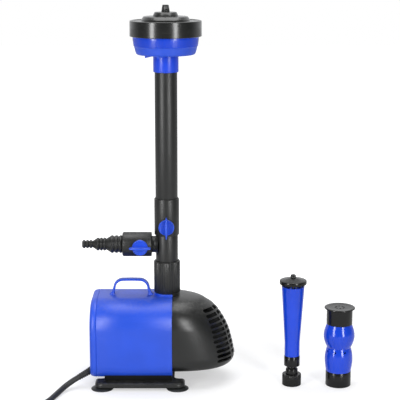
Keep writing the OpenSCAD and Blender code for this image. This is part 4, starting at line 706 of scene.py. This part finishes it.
# The plate's edge, as its inset and height, and a suction cup's outline up to its stem
PLATE_EDGE = [(3, 4), (0.8, 4), (0.2, 4.25), (0, 4.8), (0, 6.7), (0.3, 8.3), (1.2, 9.8), (2.6, 10.8),
              (4.3, 11.15), (5.5, 11.2)]
CUP = [(0, 2.4), (6, 1.9), (11.8, 0.9), (14.6, 0.02), (15.7, 0), (16, 0.35), (15.95, 0.8), (15.2, 1.35),
       (13.2, 2.1), (10.6, 2.75), (8.4, 3.05), (7.2, 3.45), (6.6, 3.9), (4, 3.9)]


class PUMP_OT_base(bpy.types.Operator):
    """Base plate with its cradle, on four suction cups"""

    bl_idname = "fountain_pump.base"
    bl_label = "Base and cups"

    def execute(self, context):
        low, high = room("base_plate")
        middle_x, corner, notch_depth, notch_width = (low.x + high.x) / 2, 12.0, 31, 76
        wide, deep = (high.x - low.x) / 2 - corner, high.y - corner
        plate = [[(middle_x + x, y, z) for x, y in corner_arcs(wide, deep, corner - inset, steps=12)]
                 for inset, z in PLATE_EDGE]
        slab = skin(plate)
        for end in (low.x, high.x):
            notch = [rounded_box_ring(Vector((end, 0, z)), Vector((1, 0, 0)), Vector((0, 1, 0)), notch_depth,
                                      notch_width, corner=0.24) for z in (0, 20)]
            slab = cut_out(slab, skin(notch))
        top_half, foot_half, foot_z, cradle_ends = 53, 46, PLATE_EDGE[-1][1] - 0.5, (-89.4, 7.3)
        seat = [(y, z) for y, z in section(-0.1, HOUSING_LOW.z, context.scene.pump_sizes)
                if z < high.z and abs(y) < top_half - 0.5]
        outline = [(top_half, high.z), *sorted(seat, key=lambda p: -p[0]), (-top_half, high.z),
                   (-foot_half, foot_z), (foot_half, foot_z)]
        cradle = skin([[(x, y, z) for y, z in outline] for x in cradle_ends])
        piece("base_with_cradle", joined(slab, cradle), "pump", "black_base", "base_plate", edge=0.5)
        for number in range(1, 5):
            node = f"suction_cup_{number}"
            top = room(node)[1].z
            cup = turned(spun([*CUP, (4, top), (0, top)], steps=72), over(node))
            piece(f"cup_{number}", cup, "pump", "cup_rubber", node, slot="black_rubber")
        dress("screw_steel", "base_screws")
        return {"FINISHED"}


# Diverter and riser

# Outlines of the lip inside the union nut, from the nut's foot, of the T-piece's side neck, from
# the riser's axis, and of the side valve's body, from its near end
NUT_LIP = [(16.05, 32.7), (17.5, 32.7), (17.5, 46.2), (16.45, 46.2), (16.05, 45.8)]
SIDE_NECK = [(9, 13), (14.6, 13), (13.6, 14.6), (12.6, 15.8), (12, 17), (12, 25.9), (9, 25.9)]
SIDE_VALVE = [(8, 0), (16.8, 0), (17.5, 0.3), (17.8, 0.9), (17.8, 40.1), (17.5, 41), (16.6, 42),
              (15.8, 42.3), (14.1, 42.3), (14.1, 31.8), (8, 31.8)]


def fluted(ribs, power, radius, z, depth=0.0):
    """Ring of points round Z at a height, with flutes of a depth between its ribs."""
    step = 6
    points = []
    for i in range(ribs * step):
        reach = radius - depth * (0.5 - 0.5 * cos(2 * pi * i / step)) ** power
        angle = 2 * pi * i / (ribs * step)
        points.append((reach * cos(angle), reach * sin(angle), z))
    return points


def ribbed(radius, depth, ribs, low, high, bore, crown=1.2):
    """A ribbed nut between two heights, with a rounded crown and an open bore."""
    rows = [(bore, low + 0.5), (bore + 0.5, low), (radius - 0.7, low, depth),
            (radius - 0.25, low + 0.25, depth), (radius, low + 0.8, depth), (radius, high - crown, depth),
            (radius - 0.25, high - crown * 0.45, depth), (radius - 0.8, high - crown * 0.12, depth),
            (radius - 1.5, high, depth), (bore + 0.4, high), (bore, high - 0.4), (bore, low + 0.5)]
    return cleaned(skin([fluted(ribs, 1.5, *row) for row in rows], caps=False))


class PUMP_OT_union_nut(bpy.types.Operator):
    """Ribbed union nut on the outlet, with its seal"""

    bl_idname = "fountain_pump.union_nut"
    bl_label = "Union nut"

    def execute(self, context):
        low, high = room("union_nut")
        ribs = context.scene.pump_sizes.nut_ribs
        nut = ribbed(radius=high.y, depth=0.55, ribs=ribs, low=low.z, high=high.z, bore=16.66)
        lip = turned(spun(NUT_LIP, closed=True), at(0, 0, low.z))
        piece("union_nut_ribbed", joined(nut, lip), "union_nut", "black_satin", "union_nut")
        dress("seal_rubber", "union_seal")
        return {"FINISHED"}


def barrel(low, high, radius, bore, edge):
    """A tube with rounded ends, its outline closed through the bore."""
    return spun([(bore, low + 0.3), (bore + 0.3, low), (radius - edge, low),
                 (radius - 0.3 * edge, low + 0.3 * edge), (radius, low + edge), (radius, (low + high) / 2),
                 (radius, high - edge), (radius - 0.3 * edge, high - 0.3 * edge), (radius - edge, high),
                 (bore + 0.3, high), (bore, high - 0.3)], closed=True)


def knob_seat(x, z):
    """Round boss on the front of a valve body, which a knob turns in."""
    outline = [(9.65, 12), (10.9, 12), (10.9, 20.5), (10.6, 20.8), (9.65, 20.8)]
    return turned(spun(outline, closed=True), at(x, 0, z) @ along((0, -1, 0)))


def barb_outline(tip):
    """Outline of the hose barb up to its tip: three stages of three rounded beads, and the bore."""
    bore, bead, beads, steps = 4.0, 1.5, 3, 12
    outline = [(8, -8.4), (14, -8.4), (14, -0.1)]
    for start, length, crest in ((0, 18.6, 12.9), (24.0, 14.6, 9.5), (44.0, 14.9, 6.1)):
        for i in range(beads * steps + 1):
            wave = (1 + cos(2 * pi * i / steps)) / 2
            outline.append((crest - bead * wave ** 2.2, start + length * i / (beads * steps)))
    return outline + [(5.0, tip - 0.1), (4.4, tip), (bore, tip - 0.4), (bore, 10)]


class PUMP_OT_diverter(bpy.types.Operator):
    """T-piece, the two valve bodies and the stepped hose barb"""

    bl_idname = "fountain_pump.diverter"
    bl_label = "Diverter"

    def execute(self, context):
        tee_low, tee_high = room("diverter_tee")
        valve_low, valve_high = room("riser_valve_body")
        side_low, side_high = room("side_valve_body")
        branch = middle("side_valve_body")[2]
        to_branch = at(0, 0, branch) @ along((-1, 0, 0))

        flange = barrel(tee_low.z, tee_low.z + 4, radius=16.6, bore=12.5, edge=0.3)
        pipe = barrel(tee_low.z + 0.1, valve_low.z, radius=16, bore=12.5, edge=0.4)
        spigot = barrel(valve_low.z - 1, tee_high.z, radius=13, bore=10.5, edge=0.3)
        neck = turned(spun(SIDE_NECK, closed=True), to_branch)
        piece("tee_piece", joined(flange, pipe, spigot, neck), "diverter", "black_pipe", "diverter_tee")

        body = barrel(valve_low.z, valve_high.z, radius=17.9, bore=16.05, edge=1.0)
        plug_room, inside, floor_low, floor_high = 8, 16.4, valve_low.z + 0.4, valve_high.z - 25
        floor = spun([(plug_room, floor_low), (inside, floor_low), (inside, floor_high),
                      (plug_room, floor_high)], closed=True)
        boss = knob_seat(0, middle("riser_valve_knob")[2])
        piece("riser_valve", joined(body, floor, boss), "diverter", "black_pipe", "riser_valve_body")

        body = turned(spun(SIDE_VALVE, closed=True), to_branch @ at(0, 0, -side_high.x))
        boss = knob_seat(middle("side_valve_knob")[0], branch)
        piece("side_valve", joined(body, boss), "diverter", "black_side_pipe", "side_valve_body")

        shoulder = side_low.x
        barb = spun(barb_outline(shoulder - room("hose_barb")[0].x), steps=80, closed=True)
        barb = turned(barb, to_branch @ at(0, 0, -shoulder))
        piece("stepped_barb", barb, "diverter", "black_side_pipe", "hose_barb", smooth=50)
        dress("seal_rubber", "barb_seal")
        return {"FINISHED"}


# Outlines of the knob's disc and plug
KNOB_DISC = [(0, 21.1), (10.9, 21.1), (11.2, 21.4), (11.2, 23.4), (10.95, 23.95), (10.4, 24.25), (9.9, 24.15),
             (9.5, 23.6), (9.1, 23.4), (0, 23.4)]
KNOB_PLUG = [(0, -12.5), (9.3, -12.5), (9.6, -12.2), (9.6, 17.8), (8.2, 17.8), (8.2, 19.6), (9.6, 19.6),
             (9.6, 21.2), (0, 21.2)]
# Section of the knob's bar in shares of half its thickness and of its height, and where its
# sections stand, in shares of half its length
BAR_SHARES = [(1.15, 0), (1.1, 0.25), (1.0, 0.6), (0.9, 0.85), (0.62, 0.965), (0.25, 1.0)]
BAR_STATIONS = [0, 0.25, 0.5, 0.72, 0.85, 0.94, 0.985, 1]


def knob_shape():
    """A quarter-turn knob about Z, its bar along X, with the plug behind it."""
    half_length, bar_foot, bar_top = 15.25, 22.5, 33.2
    bore = turned(rod(radius=7.5, low=-14, high=14, steps=48), along((1, 0, 0)))
    plug = cut_out(spun(KNOB_PLUG, steps=64), bore)
    outline = [(-y, s) for y, s in BAR_SHARES] + list(reversed(BAR_SHARES))
    rings = []
    for x in [-x for x in reversed(BAR_STATIONS[1:])] + BAR_STATIONS:
        half_thick = (3.9 - 2.3 * abs(x) ** 1.6) / 2 * (1 - max(0.0, abs(x) - 0.9) * 3.5)
        top = bar_top - 1.2 * x * x
        foot = bar_foot + max(0, abs(x) - 0.7) * 8
        rings.append([(x * half_length, y * half_thick, foot + (top - foot) * s) for y, s in outline])
    return joined(spun(KNOB_DISC, steps=72), plug, skin(rings))


class PUMP_OT_valve_knobs(bpy.types.Operator):
    """The two blue quarter-turn knobs, with their O-rings"""

    bl_idname = "fountain_pump.valve_knobs"
    bl_label = "Valve knobs"

    def execute(self, context):
        for name, turn in (("riser", 90), ("side", 0)):
            x, _, z = middle(f"{name}_valve_knob")
            place = at(x, 0, z) @ Matrix.Rotation(radians(turn), 4, "Y") @ along((0, -1, 0))
            piece(f"{name}_knob", turned(knob_shape(), place), f"{name}_knob", "blue_body",
                  f"{name}_valve_knob")
            dress("seal_rubber", f"{name}_valve_o_ring")
        return {"FINISHED"}


class PUMP_OT_riser(bpy.types.Operator):
    """Riser tube"""

    bl_idname = "fountain_pump.riser"
    bl_label = "Riser tube"

    def execute(self, context):
        low, high = room("riser_tube")
        wall = 2.5
        pipe = barrel(low.z, high.z, radius=high.y, bore=high.y - wall, edge=0.5)
        piece("riser_pipe", pipe, "riser", "black_pipe", "riser_tube")
        return {"FINISHED"}


# Spray head

# Outlines of the sleeve, of the bowl and of the stepped cap, each from its foot
SLEEVE = [(16.05, 0.4), (16.5, 0), (17.3, 0), (17.75, 0.3), (17.9, 0.9), (17.9, 23.5), (17.2, 24), (13, 24),
          (13, 36.9), (10.5, 36.9), (10.5, 21.9), (16.05, 21.9)]
BOWL = [(13.05, 0), (37.6, 0), (39.4, 0.2), (40.8, 0.8), (41.7, 1.8), (42.2, 3.2), (42.9, 5.2), (43.9, 9.4),
        (44.6, 12.0), (44.75, 12.15), (45.1, 12.4), (45.9, 17.8), (46.4, 22), (46.7, 25.0), (46.6, 25.3),
        (46.2, 25.4), (46.2, 30.7), (43.7, 30.7), (43.7, 25.7), (42.2, 12), (40, 4), (38, 2.5), (16, 2.5),
        (16, 10), (13.05, 10)]
CAP = [(46.3, 0), (50.1, 0), (50.6, 0.4), (50.5, 10), (50.5, 20.6), (50.2, 21.4), (49.4, 21.8), (47.8, 21.8),
       (47.2, 21.2), (46.6, 21.2), (35.2, 21.2), (34.8, 21.35), (34.6, 21.7), (34.3, 23.0), (33.7, 23.6),
       (31.3, 26.9), (30.7, 27.3), (29.9, 27.45), (18.4, 27.45), (18.0, 27.6), (17.8, 27.9), (17.6, 29.0),
       (17.2, 29.4), (15.6, 33.0), (15.1, 33.35), (14.4, 33.45), (6.4, 33.45), (4.2, 33.45), (4.2, 30.5),
       (12, 30.5), (14.6, 24.6), (27.2, 24.6), (31, 18.5), (46.3, 18.5)]
# Circles of small holes in the cap's steps: radius, count, height
CAP_HOLES = [(41.75, 24, 21.2), (24.2, 16, 27.45), (10.1, 10, 33.45)]


def tip_shape(foot, top, height, ribs, bore):
    """A small ribbed nozzle tip with a bore, standing on zero."""
    depth = 0.5
    rows = [(foot - 0.2, 0), (foot, 0.3), (foot, height * 0.1), (foot - 0.12, height * 0.14, depth),
            ((foot + top) / 2, height * 0.55, depth), (top + 0.1, height * 0.93, depth),
            (top - 0.15, height * 0.985, depth * 0.4), (top - 0.5, height), (bore + 0.25, height),
            (bore, height - 0.3), (bore, height * 0.5)]
    return skin([fluted(ribs, 1.3, *row) for row in rows])


class PUMP_OT_spray_head(bpy.types.Operator):
    """Sleeve, turning bowl, stepped cap and centre jet"""

    bl_idname = "fountain_pump.spray_head"
    bl_label = "Spray head"

    def execute(self, context):
        wall_piece("head_sleeve_blue", "head", "blue_head", "head_sleeve", SLEEVE)
        bowl = turned(spun(BOWL, steps=144, closed=True), at(0, 0, BOWL_FOOT))
        wedges = []
        near, far = 32.75, 35.25
        for angle in (-132, -98, 48, 82):
            rings = [[(near, y, 0.3), (far, y, 0.3), (far, y, -depth), (near, y, -depth)]
                     for y, depth in ((-6.5, 3.0), (-2.0, 2.0), (2.5, 1.0), (6.4, 0.12))]
            wedges.append(turned(skin(rings), at(0, 0, BOWL_FOOT) @ Matrix.Rotation(radians(angle), 4, "Z")))
        piece("spray_bowl_blue", joined(bowl, *wedges), "spray", "blue_bowl", "spray_bowl")

        holes = []
        for circle, count, top in CAP_HOLES:
            holes += hole_circle(circle, count, radius=0.8, low=top - 6, high=top + 2, steps=10)
        cap = cut_out(spun(CAP, steps=144, closed=True), joined(*holes))
        piece("spray_cap_black", turned(cap, at(0, 0, room("spray_cap")[0].z)), "spray", "black_gloss",
              "spray_cap")

        low, high = room("centre_jet")
        stem_length, tip_foot, ribs = 7, 6.4, context.scene.pump_sizes.jet_ribs
        stem = rod(radius=4.05, low=low.z, high=low.z + stem_length)
        tip = tip_shape(foot=5.9, top=4.3, height=high.z - low.z - stem_length, ribs=ribs, bore=1.8)
        jet = joined(stem, turned(tip, at(0, 0, low.z + tip_foot)))
        piece("centre_jet_ribbed", jet, "spray", "black_gloss", "centre_jet")
        dress("black_satin", "head_clip")
        return {"FINISHED"}


# Spare nozzles

# Outlines of the bell nozzle's walls, each from its foot; the collar turns on the stem's ball
BELL_BORE, BALL = 3.5, 8.6
BALL_NECK = degrees(asin(6.0 / BALL))
BELL_RIM = [(8.75, 14.4), (12, 14.4), (12, 16.3), (9.1, 16.3), (8.75, 16)]
BELL_STEM = [(BELL_BORE, 0), (11.35, 0), (11.35, 3), (8.7, 3), (8.7, 12.5), (8.45, 13.1), (8, 13.6),
             (6.4, 15.2), (6, 15.9), *arc((0, 23.4), BALL, BALL_NECK - 90, 102 - BALL_NECK, 16)]
BELL_STEM.append((BELL_BORE, BELL_STEM[-1][1] + 0.3))
BELL_COLLAR = [(8.03, 0), (8.4, 0), (10.8, 0), (11.2, 0.2), (11.3, 0.6), (11.3, 14.4), (11, 14.9),
               (10.5, 15), (8.2, 15), (8.2, 21), (BELL_BORE, 21), (BELL_BORE, 13.8),
               *arc((0, 5.3), BALL + 0.05, 66, -30, 12)]
BELL_CONE = [(8.3, 0), (10.6, 0), (10.9, 0.3), (10.9, 19.5), (10.93, 20.5), (16.4, 102.8), (16.55, 103.6),
             (16.3, 104), (15.2, 104), (14.95, 103.7), (8.3, 20)]
DEFLECTOR = [(2.05, 0), (5.2, 0), (10.2, 2.25), (11.2, 2.5), (18.8, 2.5), (19.3, 2.7), (19.45, 3.2),
             (19.45, 6.8), (19.2, 7.5), (18.6, 7.9), (16.5, 8.35), (11.5, 9.55), (7.2, 10.75), (5.4, 11.3),
             (4.2, 11.4), (2.05, 11.4)]
# Piece, body, finish, CAD node, outline and steps of each of them
BELL_WALLS = [("bell_ball_stem", "bell_base", "black_nozzle", "bell_stem", BELL_STEM, 80),
              ("bell_collar_black", "bell_upper", "black_nozzle", "bell_collar", BELL_COLLAR, 80),
              ("bell_cone_blue", "bell_upper", "blue_gloss", "bell_cone", BELL_CONE, 96),
              ("deflector_disc_black", "deflector", "black_nozzle", "deflector_disc", DEFLECTOR, 112)]
# Outlines of the tier nozzle's socket and cap, each from its foot
TIER_SOCKET = [(16.1, 0.4), (16.4, 0), (17.8, 0), (18.15, 0.2), (18.25, 0.6), (18.25, 21.2), (18, 21.7),
               (17.7, 21.8), (15.35, 21.8), (15.35, 23.8), (13.35, 23.8), (13.35, 19), (16.1, 19)]
TIER_CAP = [(15.35, 0), (15.35, 2), (18.1, 2), (18.5, 2.2), (18.6, 2.6), (18.6, 24.5), (19, 25),
            (21.6, 25.1), (22, 25.4), (22, 26), (21.8, 26.6), (21.2, 26.9), (18, 26.85), (15.5, 26.4),
            (13.5, 26.3), (0, 26.3), (0, 24.9), (13.35, 24.9), (13.35, 0), (15.35, 0)]


class PUMP_OT_bell_nozzle(bpy.types.Operator):
    """Bell nozzle: nut, ball stem, collar, cone and deflector"""

    bl_idname = "fountain_pump.bell_nozzle"
    bl_label = "Bell nozzle"

    def execute(self, context):
        stand = over("bell_nut")
        nut = ribbed(radius=13.7, depth=0.5, ribs=36, low=0, high=room("bell_nut")[1].z, bore=11.4, crown=0.9)
        rim = spun(BELL_RIM, closed=True)
        piece("bell_nut_ribbed", turned(joined(nut, rim), stand), "bell_nut", "black_nozzle", "bell_nut")
        for row in BELL_WALLS:
            wall_piece(*row, stand)
        dress("screw_steel", "bell_rod")
        low, high = room("deflector_knob")
        knob = tip_shape(foot=4.15, top=3.5, height=high.z - low.z, ribs=8, bore=1.1)
        knob = turned(knob, stand @ at(0, 0, low.z))
        piece("deflector_knob_ribbed", knob, "deflector", "black_nozzle", "deflector_knob")
        return {"FINISHED"}


def bulb_side(start, height, first, last, widest, steps=20):
    """Side of a bulb between two heights, from one radius to another over its widest."""
    points = []
    for i in range(steps + 1):
        share = i / steps
        end = first + (last - first) * share
        points.append((end + (widest - end) * sin(pi * share), start + height * share))
    return points


class PUMP_OT_tier_nozzle(bpy.types.Operator):
    """Tier nozzle: socket, two blue bulbs and cap"""

    bl_idname = "fountain_pump.tier_nozzle"
    bl_label = "Tier nozzle"

    def execute(self, context):
        stand = over("tier_bulbs")
        low, high = room("tier_bulbs")
        foot, top = low.z, high.z
        waist, wall = foot + 35.7, 2
        wall_piece("tier_socket_black", "tier", "black_nozzle", "tier_socket", TIER_SOCKET, stand=stand)

        outer = bulb_side(foot, waist - foot, first=18.0, last=17.2, widest=20.1)
        outer += bulb_side(waist, top - waist, first=17.2, last=18.1, widest=22.3)[1:]
        inner = [(radius - wall, z) for radius, z in reversed(outer)]
        holes = []
        for i in range(8):
            angle = radians(45 * (i + 0.5))
            out = along((cos(angle), sin(angle), 0))
            hole = rod(radius=1.5, low=10, high=24, steps=20)
            holes.append(turned(hole, at(0, 0, waist - 4.5) @ out))
        bulbs = cut_out(spun(outer + inner, steps=120, closed=True), joined(*holes))
        piece("tier_bulbs_blue", turned(bulbs, stand), "tier", "blue_gloss", "tier_bulbs")

        holes = hole_circle(circle=6.25, count=8, radius=1.5, low=22.9, high=28.9, steps=20)
        cap = turned(cut_out(spun(TIER_CAP, steps=112), joined(*holes)), at(0, 0, room("tier_cap")[0].z))
        piece("tier_cap_black", turned(cap, stand), "tier", "black_nozzle", "tier_cap")
        return {"FINISHED"}


# Cord and plug

# The same route as the CAD source has, in the frame's millimetres
CORD_ROUTE = [(-201, -46, 16), (-207.8, -49.2, 12.8), (-214.1, -54.1, 9.6), (-219.6, -60, 7),
              (-223.7, -67, 5.2), (-226.2, -73.6, 4.5), (-228.8, -81.6, 4.2), (-232, -92.5, 4.2),
              (-235, -103, 4.2), (-240.1, -115.1, 4.2), (-248.2, -125.4, 4.2), (-258.7, -133.3, 4.2),
              (-270.8, -138.3, 4.2), (-283.8, -140, 4.2), (-302, -140, 4.2), (-320, -140, 4.3),
              (-339, -140, 4.6), (-358, -140, 4.9), (-376, -140, 5), (-394, -140, 5)]
TAIL_ROUTE = [(-479, -55, 47.5), (-478.4, -45.6, 48.7), (-476.7, -36.4, 51.3), (-474.1, -29, 53.6),
              (-470.2, -22.2, 55.4), (-465.1, -16.3, 55.8), (-459, -11.4, 55.8), (-452.1, -7.8, 55.8),
              (-444.7, -5.5, 55.8), (-436.9, -4.5, 55.8), (-429.1, -5.1, 55.8), (-421.6, -7.1, 55.8),
              (-416.9, -8.8, 56.8), (-412.2, -10.5, 57.9)]
COIL_IN, COIL_OUT, LAYERS, LAYER_TURNS, LAYER_HEIGHT = 40, 77, 6, 4.375, 8.5
COIL_X, COIL_Y, COIL_Z = -402, -63, 5
# The plug's grip and front disc, past the ribs of its strain relief
GRIP = [(7.0, 22), (9.8, 22.2), (10.4, 22.8), (11.6, 26), (12.6, 30.5), (12.0, 34.5), (10.7, 38.5),
        (10.6, 41), (11.6, 45.5), (13.4, 50), (14.8, 54), (15.6, 56), (17.4, 56), (18.2, 56.5),
        (18.5, 57.3), (18.5, 72), (18.2, 72.7), (17.4, 73), (0, 73)]


def coil_route(steps_a_turn):
    """Points of the tied coil: layers that spiral in and out, climbing where they reverse."""
    points = []
    for i in range(int(LAYERS * LAYER_TURNS * steps_a_turn) + 1):
        turn = i / steps_a_turn
        layer = min(int(turn / LAYER_TURNS), LAYERS - 1)
        share = turn / LAYER_TURNS - layer
        radius = COIL_OUT - (COIL_OUT - COIL_IN) * (share if layer % 2 == 0 else 1 - share)
        bend = int(turn / LAYER_TURNS + 0.5)
        climb = min(1, max(0, (turn - bend * LAYER_TURNS) * 2 + 0.5))
        floor = 0 if bend < 1 else LAYERS - 1 if bend > LAYERS - 1 else bend - 1 + climb
        angle = 1.5 * pi - 2 * pi * turn
        points.append((COIL_X + radius * cos(angle), COIL_Y + radius * sin(angle),
                       COIL_Z + LAYER_HEIGHT * floor))
    return points


def smoothed(points, steps=2):
    """More points on the same curve, by cubic pieces through the given ones."""
    line = [Vector(p) for p in points]
    out = []
    for i in range(len(line) - 1):
        before, a, b, after = line[max(i - 1, 0)], line[i], line[i + 1], line[min(i + 2, len(line) - 1)]
        for k in range(steps):
            t = k / steps
            out.append(0.5 * (2 * a + (b - before) * t + (2 * before - 5 * a + 4 * b - after) * t * t
                              + (3 * a - 3 * b + after - before) * t ** 3))
    return out + [line[-1]]


def tube(points, radius, sides=14):
    """A round tube along points."""
    line = [Vector(p) for p in points]
    turns = [2 * pi * k / sides for k in range(sides)]
    rings = []
    for i, point in enumerate(line):
        course = (line[min(i + 1, len(line) - 1)] - line[max(i - 1, 0)]).normalized()
        across = course.cross(Vector((0, 0, 1))).normalized()
        up = across.cross(course)
        rings.append([point + radius * (cos(a) * across + sin(a) * up) for a in turns])
    return skin(rings)


def relief_shape():
    """Ribbed strain relief about Z, its tip at zero, where the cord leaves it."""
    radius, foot = 5.2, -25.4
    outline = [(0, foot), (radius, foot), (radius, -19.6)]
    for i in range(6):
        z, rib = -19 + 2.9 * i, radius - 0.13 * i
        outline += [(rib, z), (rib, z + 1.5), (rib - 0.75, z + 1.8), (rib - 0.75, z + 2.6)]
    return spun(outline + [(4.4, -1.2), (4.35, -0.2), (4.1, 0), (0, 0)], steps=48)


def plug_shape():
    """A round two-pin plug about Z: ribbed strain relief, grip and front disc."""
    outline = [(0, 0), (4.6, 0)]
    for i in range(5):
        z, rib = 1.5 + 4 * i, 5.5 + 0.3 * i
        outline += [(rib, z), (rib, z + 2), (rib - 0.8, z + 2.4), (rib - 0.7, z + 3.6)]
    body = spun(outline + GRIP, steps=80)
    grip_low, grip_high = 22, 56
    for vertex in body.verts:
        if grip_low < vertex.co.z < grip_high:
            # The grip is flattened for the fingers
            vertex.co.x *= 1 - 0.22 * sin(pi * (vertex.co.z - grip_low) / (grip_high - grip_low))
    return body


class PUMP_OT_cord(bpy.types.Operator):
    """Mains cord with its strain relief, coil, ties and plug"""

    bl_idname = "fountain_pump.cord"
    bl_label = "Cord and plug"

    def execute(self, context):
        thick = context.scene.pump_sizes.cord
        leaving = Vector((-17, -8, -8)).normalized()
        place = GROUND @ at(*CORD_ROUTE[0]) @ along(leaving)
        gland = piece("strain_relief", relief_shape(), "pump", "seal_rubber", "cable_gland",
                      slot="black_rubber", place=place)
        route = smoothed(CORD_ROUTE) + coil_route(steps_a_turn=48) + smoothed(TAIL_ROUTE)
        cord = piece("mains_cord", tube(route, thick / 2), "pump", "cord_jacket", "power_cord", "cord_coil",
                     "cord_tail", slot="cord_jacket", place=GROUND)
        end, before = Vector(TAIL_ROUTE[-1]), Vector(TAIL_ROUTE[-2])
        plug = piece("plug_grip", plug_shape(), "pump", "seal_rubber", "plug_body", slot="cord_jacket",
                     place=GROUND @ at(*end) @ along(end - before))
        dress("pin_brass", "plug_pins")
        dress("tie_strap", "coil_ties")
        path = [tuple(c * MM for c in p) for p in route]
        return {"FINISHED"}


# Inside, stage and panel


class PUMP_OT_inside(bpy.types.Operator):
    """Finishes of the motor's inner pieces"""

    bl_idname = "fountain_pump.inside"
    bl_label = "Motor inside"

    def execute(self, context):
        dress("lamination_steel", "stator_core")
        dress("copper_winding", "stator_coils")
        dress("potting_resin", "resin_block")
        dress("black_satin", "rotor_well", "impeller")
        dress("seal_rubber", "rear_bush")
        dress("ceramic", "ceramic_shaft", "front_bush")
        dress("ferrite", "rotor_magnet")
        return {"FINISHED"}


# Soft boxes: name, place, what it faces, width, height, power
LAMPS = [("left_box", (-1.15, -1.20, 0.62), (-0.05, 0, 0.25), 0.34, 1.2, 18),
         ("right_box", (0.80, -1.35, 0.62), (-0.05, 0, 0.25), 0.30, 1.2, 16),
         ("overhead", (-0.02, 0.10, 1.75), (-0.02, 0, 0.2), 1.5, 1.1, 22)]


def lamp(name, place, target, width, height, power):
    light = bpy.data.lights.new(name, "AREA")
    light.shape, light.size, light.size_y, light.energy = "RECTANGLE", width, height, power
    item = bpy.data.objects.new(name, light)
    item.location = place
    item.rotation_euler = (Vector(target) - Vector(place)).to_track_quat("-Z", "Y").to_euler()
    bpy.context.scene.collection.objects.link(item)


def studio_world():
    """White for the camera; the backdrop behind the pump is brighter than the room in front of it."""
    world = bpy.data.worlds.new("studio")
    world.use_nodes = True
    g = Graph(world.node_tree)
    around = g.tree.nodes["Background"]
    back = g.node("SeparateXYZ", inputs={0: g.node("TexCoord", output="Generated")}, output="Y")
    g.feed(around.inputs["Color"], (0.97, 0.98, 1.0, 1))
    g.feed(around.inputs["Strength"], g.step(back, -0.1, 0.8) * 0.8 + 0.15)
    ahead = g.node("Background", inputs={"Color": (1, 1, 1, 1)})
    seen = g.node("LightPath", output="Is Camera Ray")
    mixed = g.node("MixShader", inputs={0: seen, 1: Wire(g, around.outputs[0]), 2: ahead})
    g.feed(g.tree.nodes["World Output"].inputs[0], mixed)
    return world


def floor_finish():
    """Pale floor: the camera sees it nearly white, and what it throws up at the pump is dimmer."""
    f = Finish("pale_floor")
    back = f.along(1)
    away = f.node("VectorMath", {"operation": "LENGTH"}, {0: f.place}, "Value")
    thrown = f.step(back, -0.9, -0.3) * 0.075 + f.step(back, 0.1, 0.7) * 0.125 + 0.04
    shown = f.step(away, 0.1, 0.7) * 0.5 + 0.46
    glow = thrown + f.node("LightPath", output="Is Camera Ray") * (shown - thrown)
    f.set(Base_Color=f.tint(f.noise(0.5), (0.50, 0.50, 0.50), (0.52, 0.52, 0.52)), Roughness=0.9)
    f.set(Emission_Color=f.node("CombineXYZ", inputs={0: glow, 1: glow, 2: glow}))
    f.set(Specular_IOR_Level=0.0, Emission_Strength=1.0)
    return f.material


class PUMP_OT_stage(bpy.types.Operator):
    """Camera, pale floor and soft studio light"""

    bl_idname = "fountain_pump.stage"
    bl_label = "Stage"

    def execute(self, context):
        scene = context.scene
        scene.view_settings.view_transform = "Standard"
        camera = bpy.data.objects.new("camera", bpy.data.cameras.new("camera"))
        camera.data.lens, camera.data.sensor_width = 108.7, 36
        camera.location = (-0.026, -1.700, 0.626)
        look_down = 11.9
        camera.rotation_euler = (radians(90 - look_down), 0, 0)
        scene.collection.objects.link(camera)
        scene.camera = camera
        scene.world = studio_world()
        grid = bmesh.new()
        bmesh.ops.create_grid(grid, x_segments=1, y_segments=1, size=6)
        floor = placed("floor", grid)
        floor.data.materials.append(floor_finish())
        for box in LAMPS:
            lamp(*box)
        return {"FINISHED"}


class PUMP_PT_panel(bpy.types.Panel):
    """Lists the pump's pieces in the sidebar"""

    bl_label = "Fountain Pump"
    bl_idname = "PUMP_PT_panel"
    bl_space_type, bl_region_type, bl_category = "VIEW_3D", "UI", "Fountain Pump"

    def draw(self, context):
        for group in (context.scene.pump_sizes, context.scene.pump_colours):
            for name in group.__annotations__:
                self.layout.prop(group, name)
        for operator in OPERATORS:
            self.layout.operator(operator.bl_idname)


# The order in which the pieces are made
OPERATORS = (PUMP_OT_stage, PUMP_OT_cord, PUMP_OT_housing, PUMP_OT_strainer, PUMP_OT_base, PUMP_OT_union_nut,
             PUMP_OT_diverter, PUMP_OT_valve_knobs, PUMP_OT_riser, PUMP_OT_spray_head, PUMP_OT_bell_nozzle,
             PUMP_OT_tier_nozzle, PUMP_OT_inside)
CLASSES = (PumpSizes, PumpColours, *OPERATORS, PUMP_PT_panel)


def register():
    for item in CLASSES:
        bpy.utils.register_class(item)
    bpy.types.Scene.pump_sizes = PointerProperty(type=PumpSizes)
    bpy.types.Scene.pump_colours = PointerProperty(type=PumpColours)


def unregister():
    del bpy.types.Scene.pump_sizes, bpy.types.Scene.pump_colours
    for item in reversed(CLASSES):
        bpy.utils.unregister_class(item)


def main():
    register()
    make_finishes(bpy.context.scene.pump_colours)
    for operator in OPERATORS:
        group, name = operator.bl_idname.split(".")
        if getattr(getattr(bpy.ops, group), name)() != {"FINISHED"}:
            raise RuntimeError(operator.bl_label + " was not made")


if __name__ == "__main__":
    main()
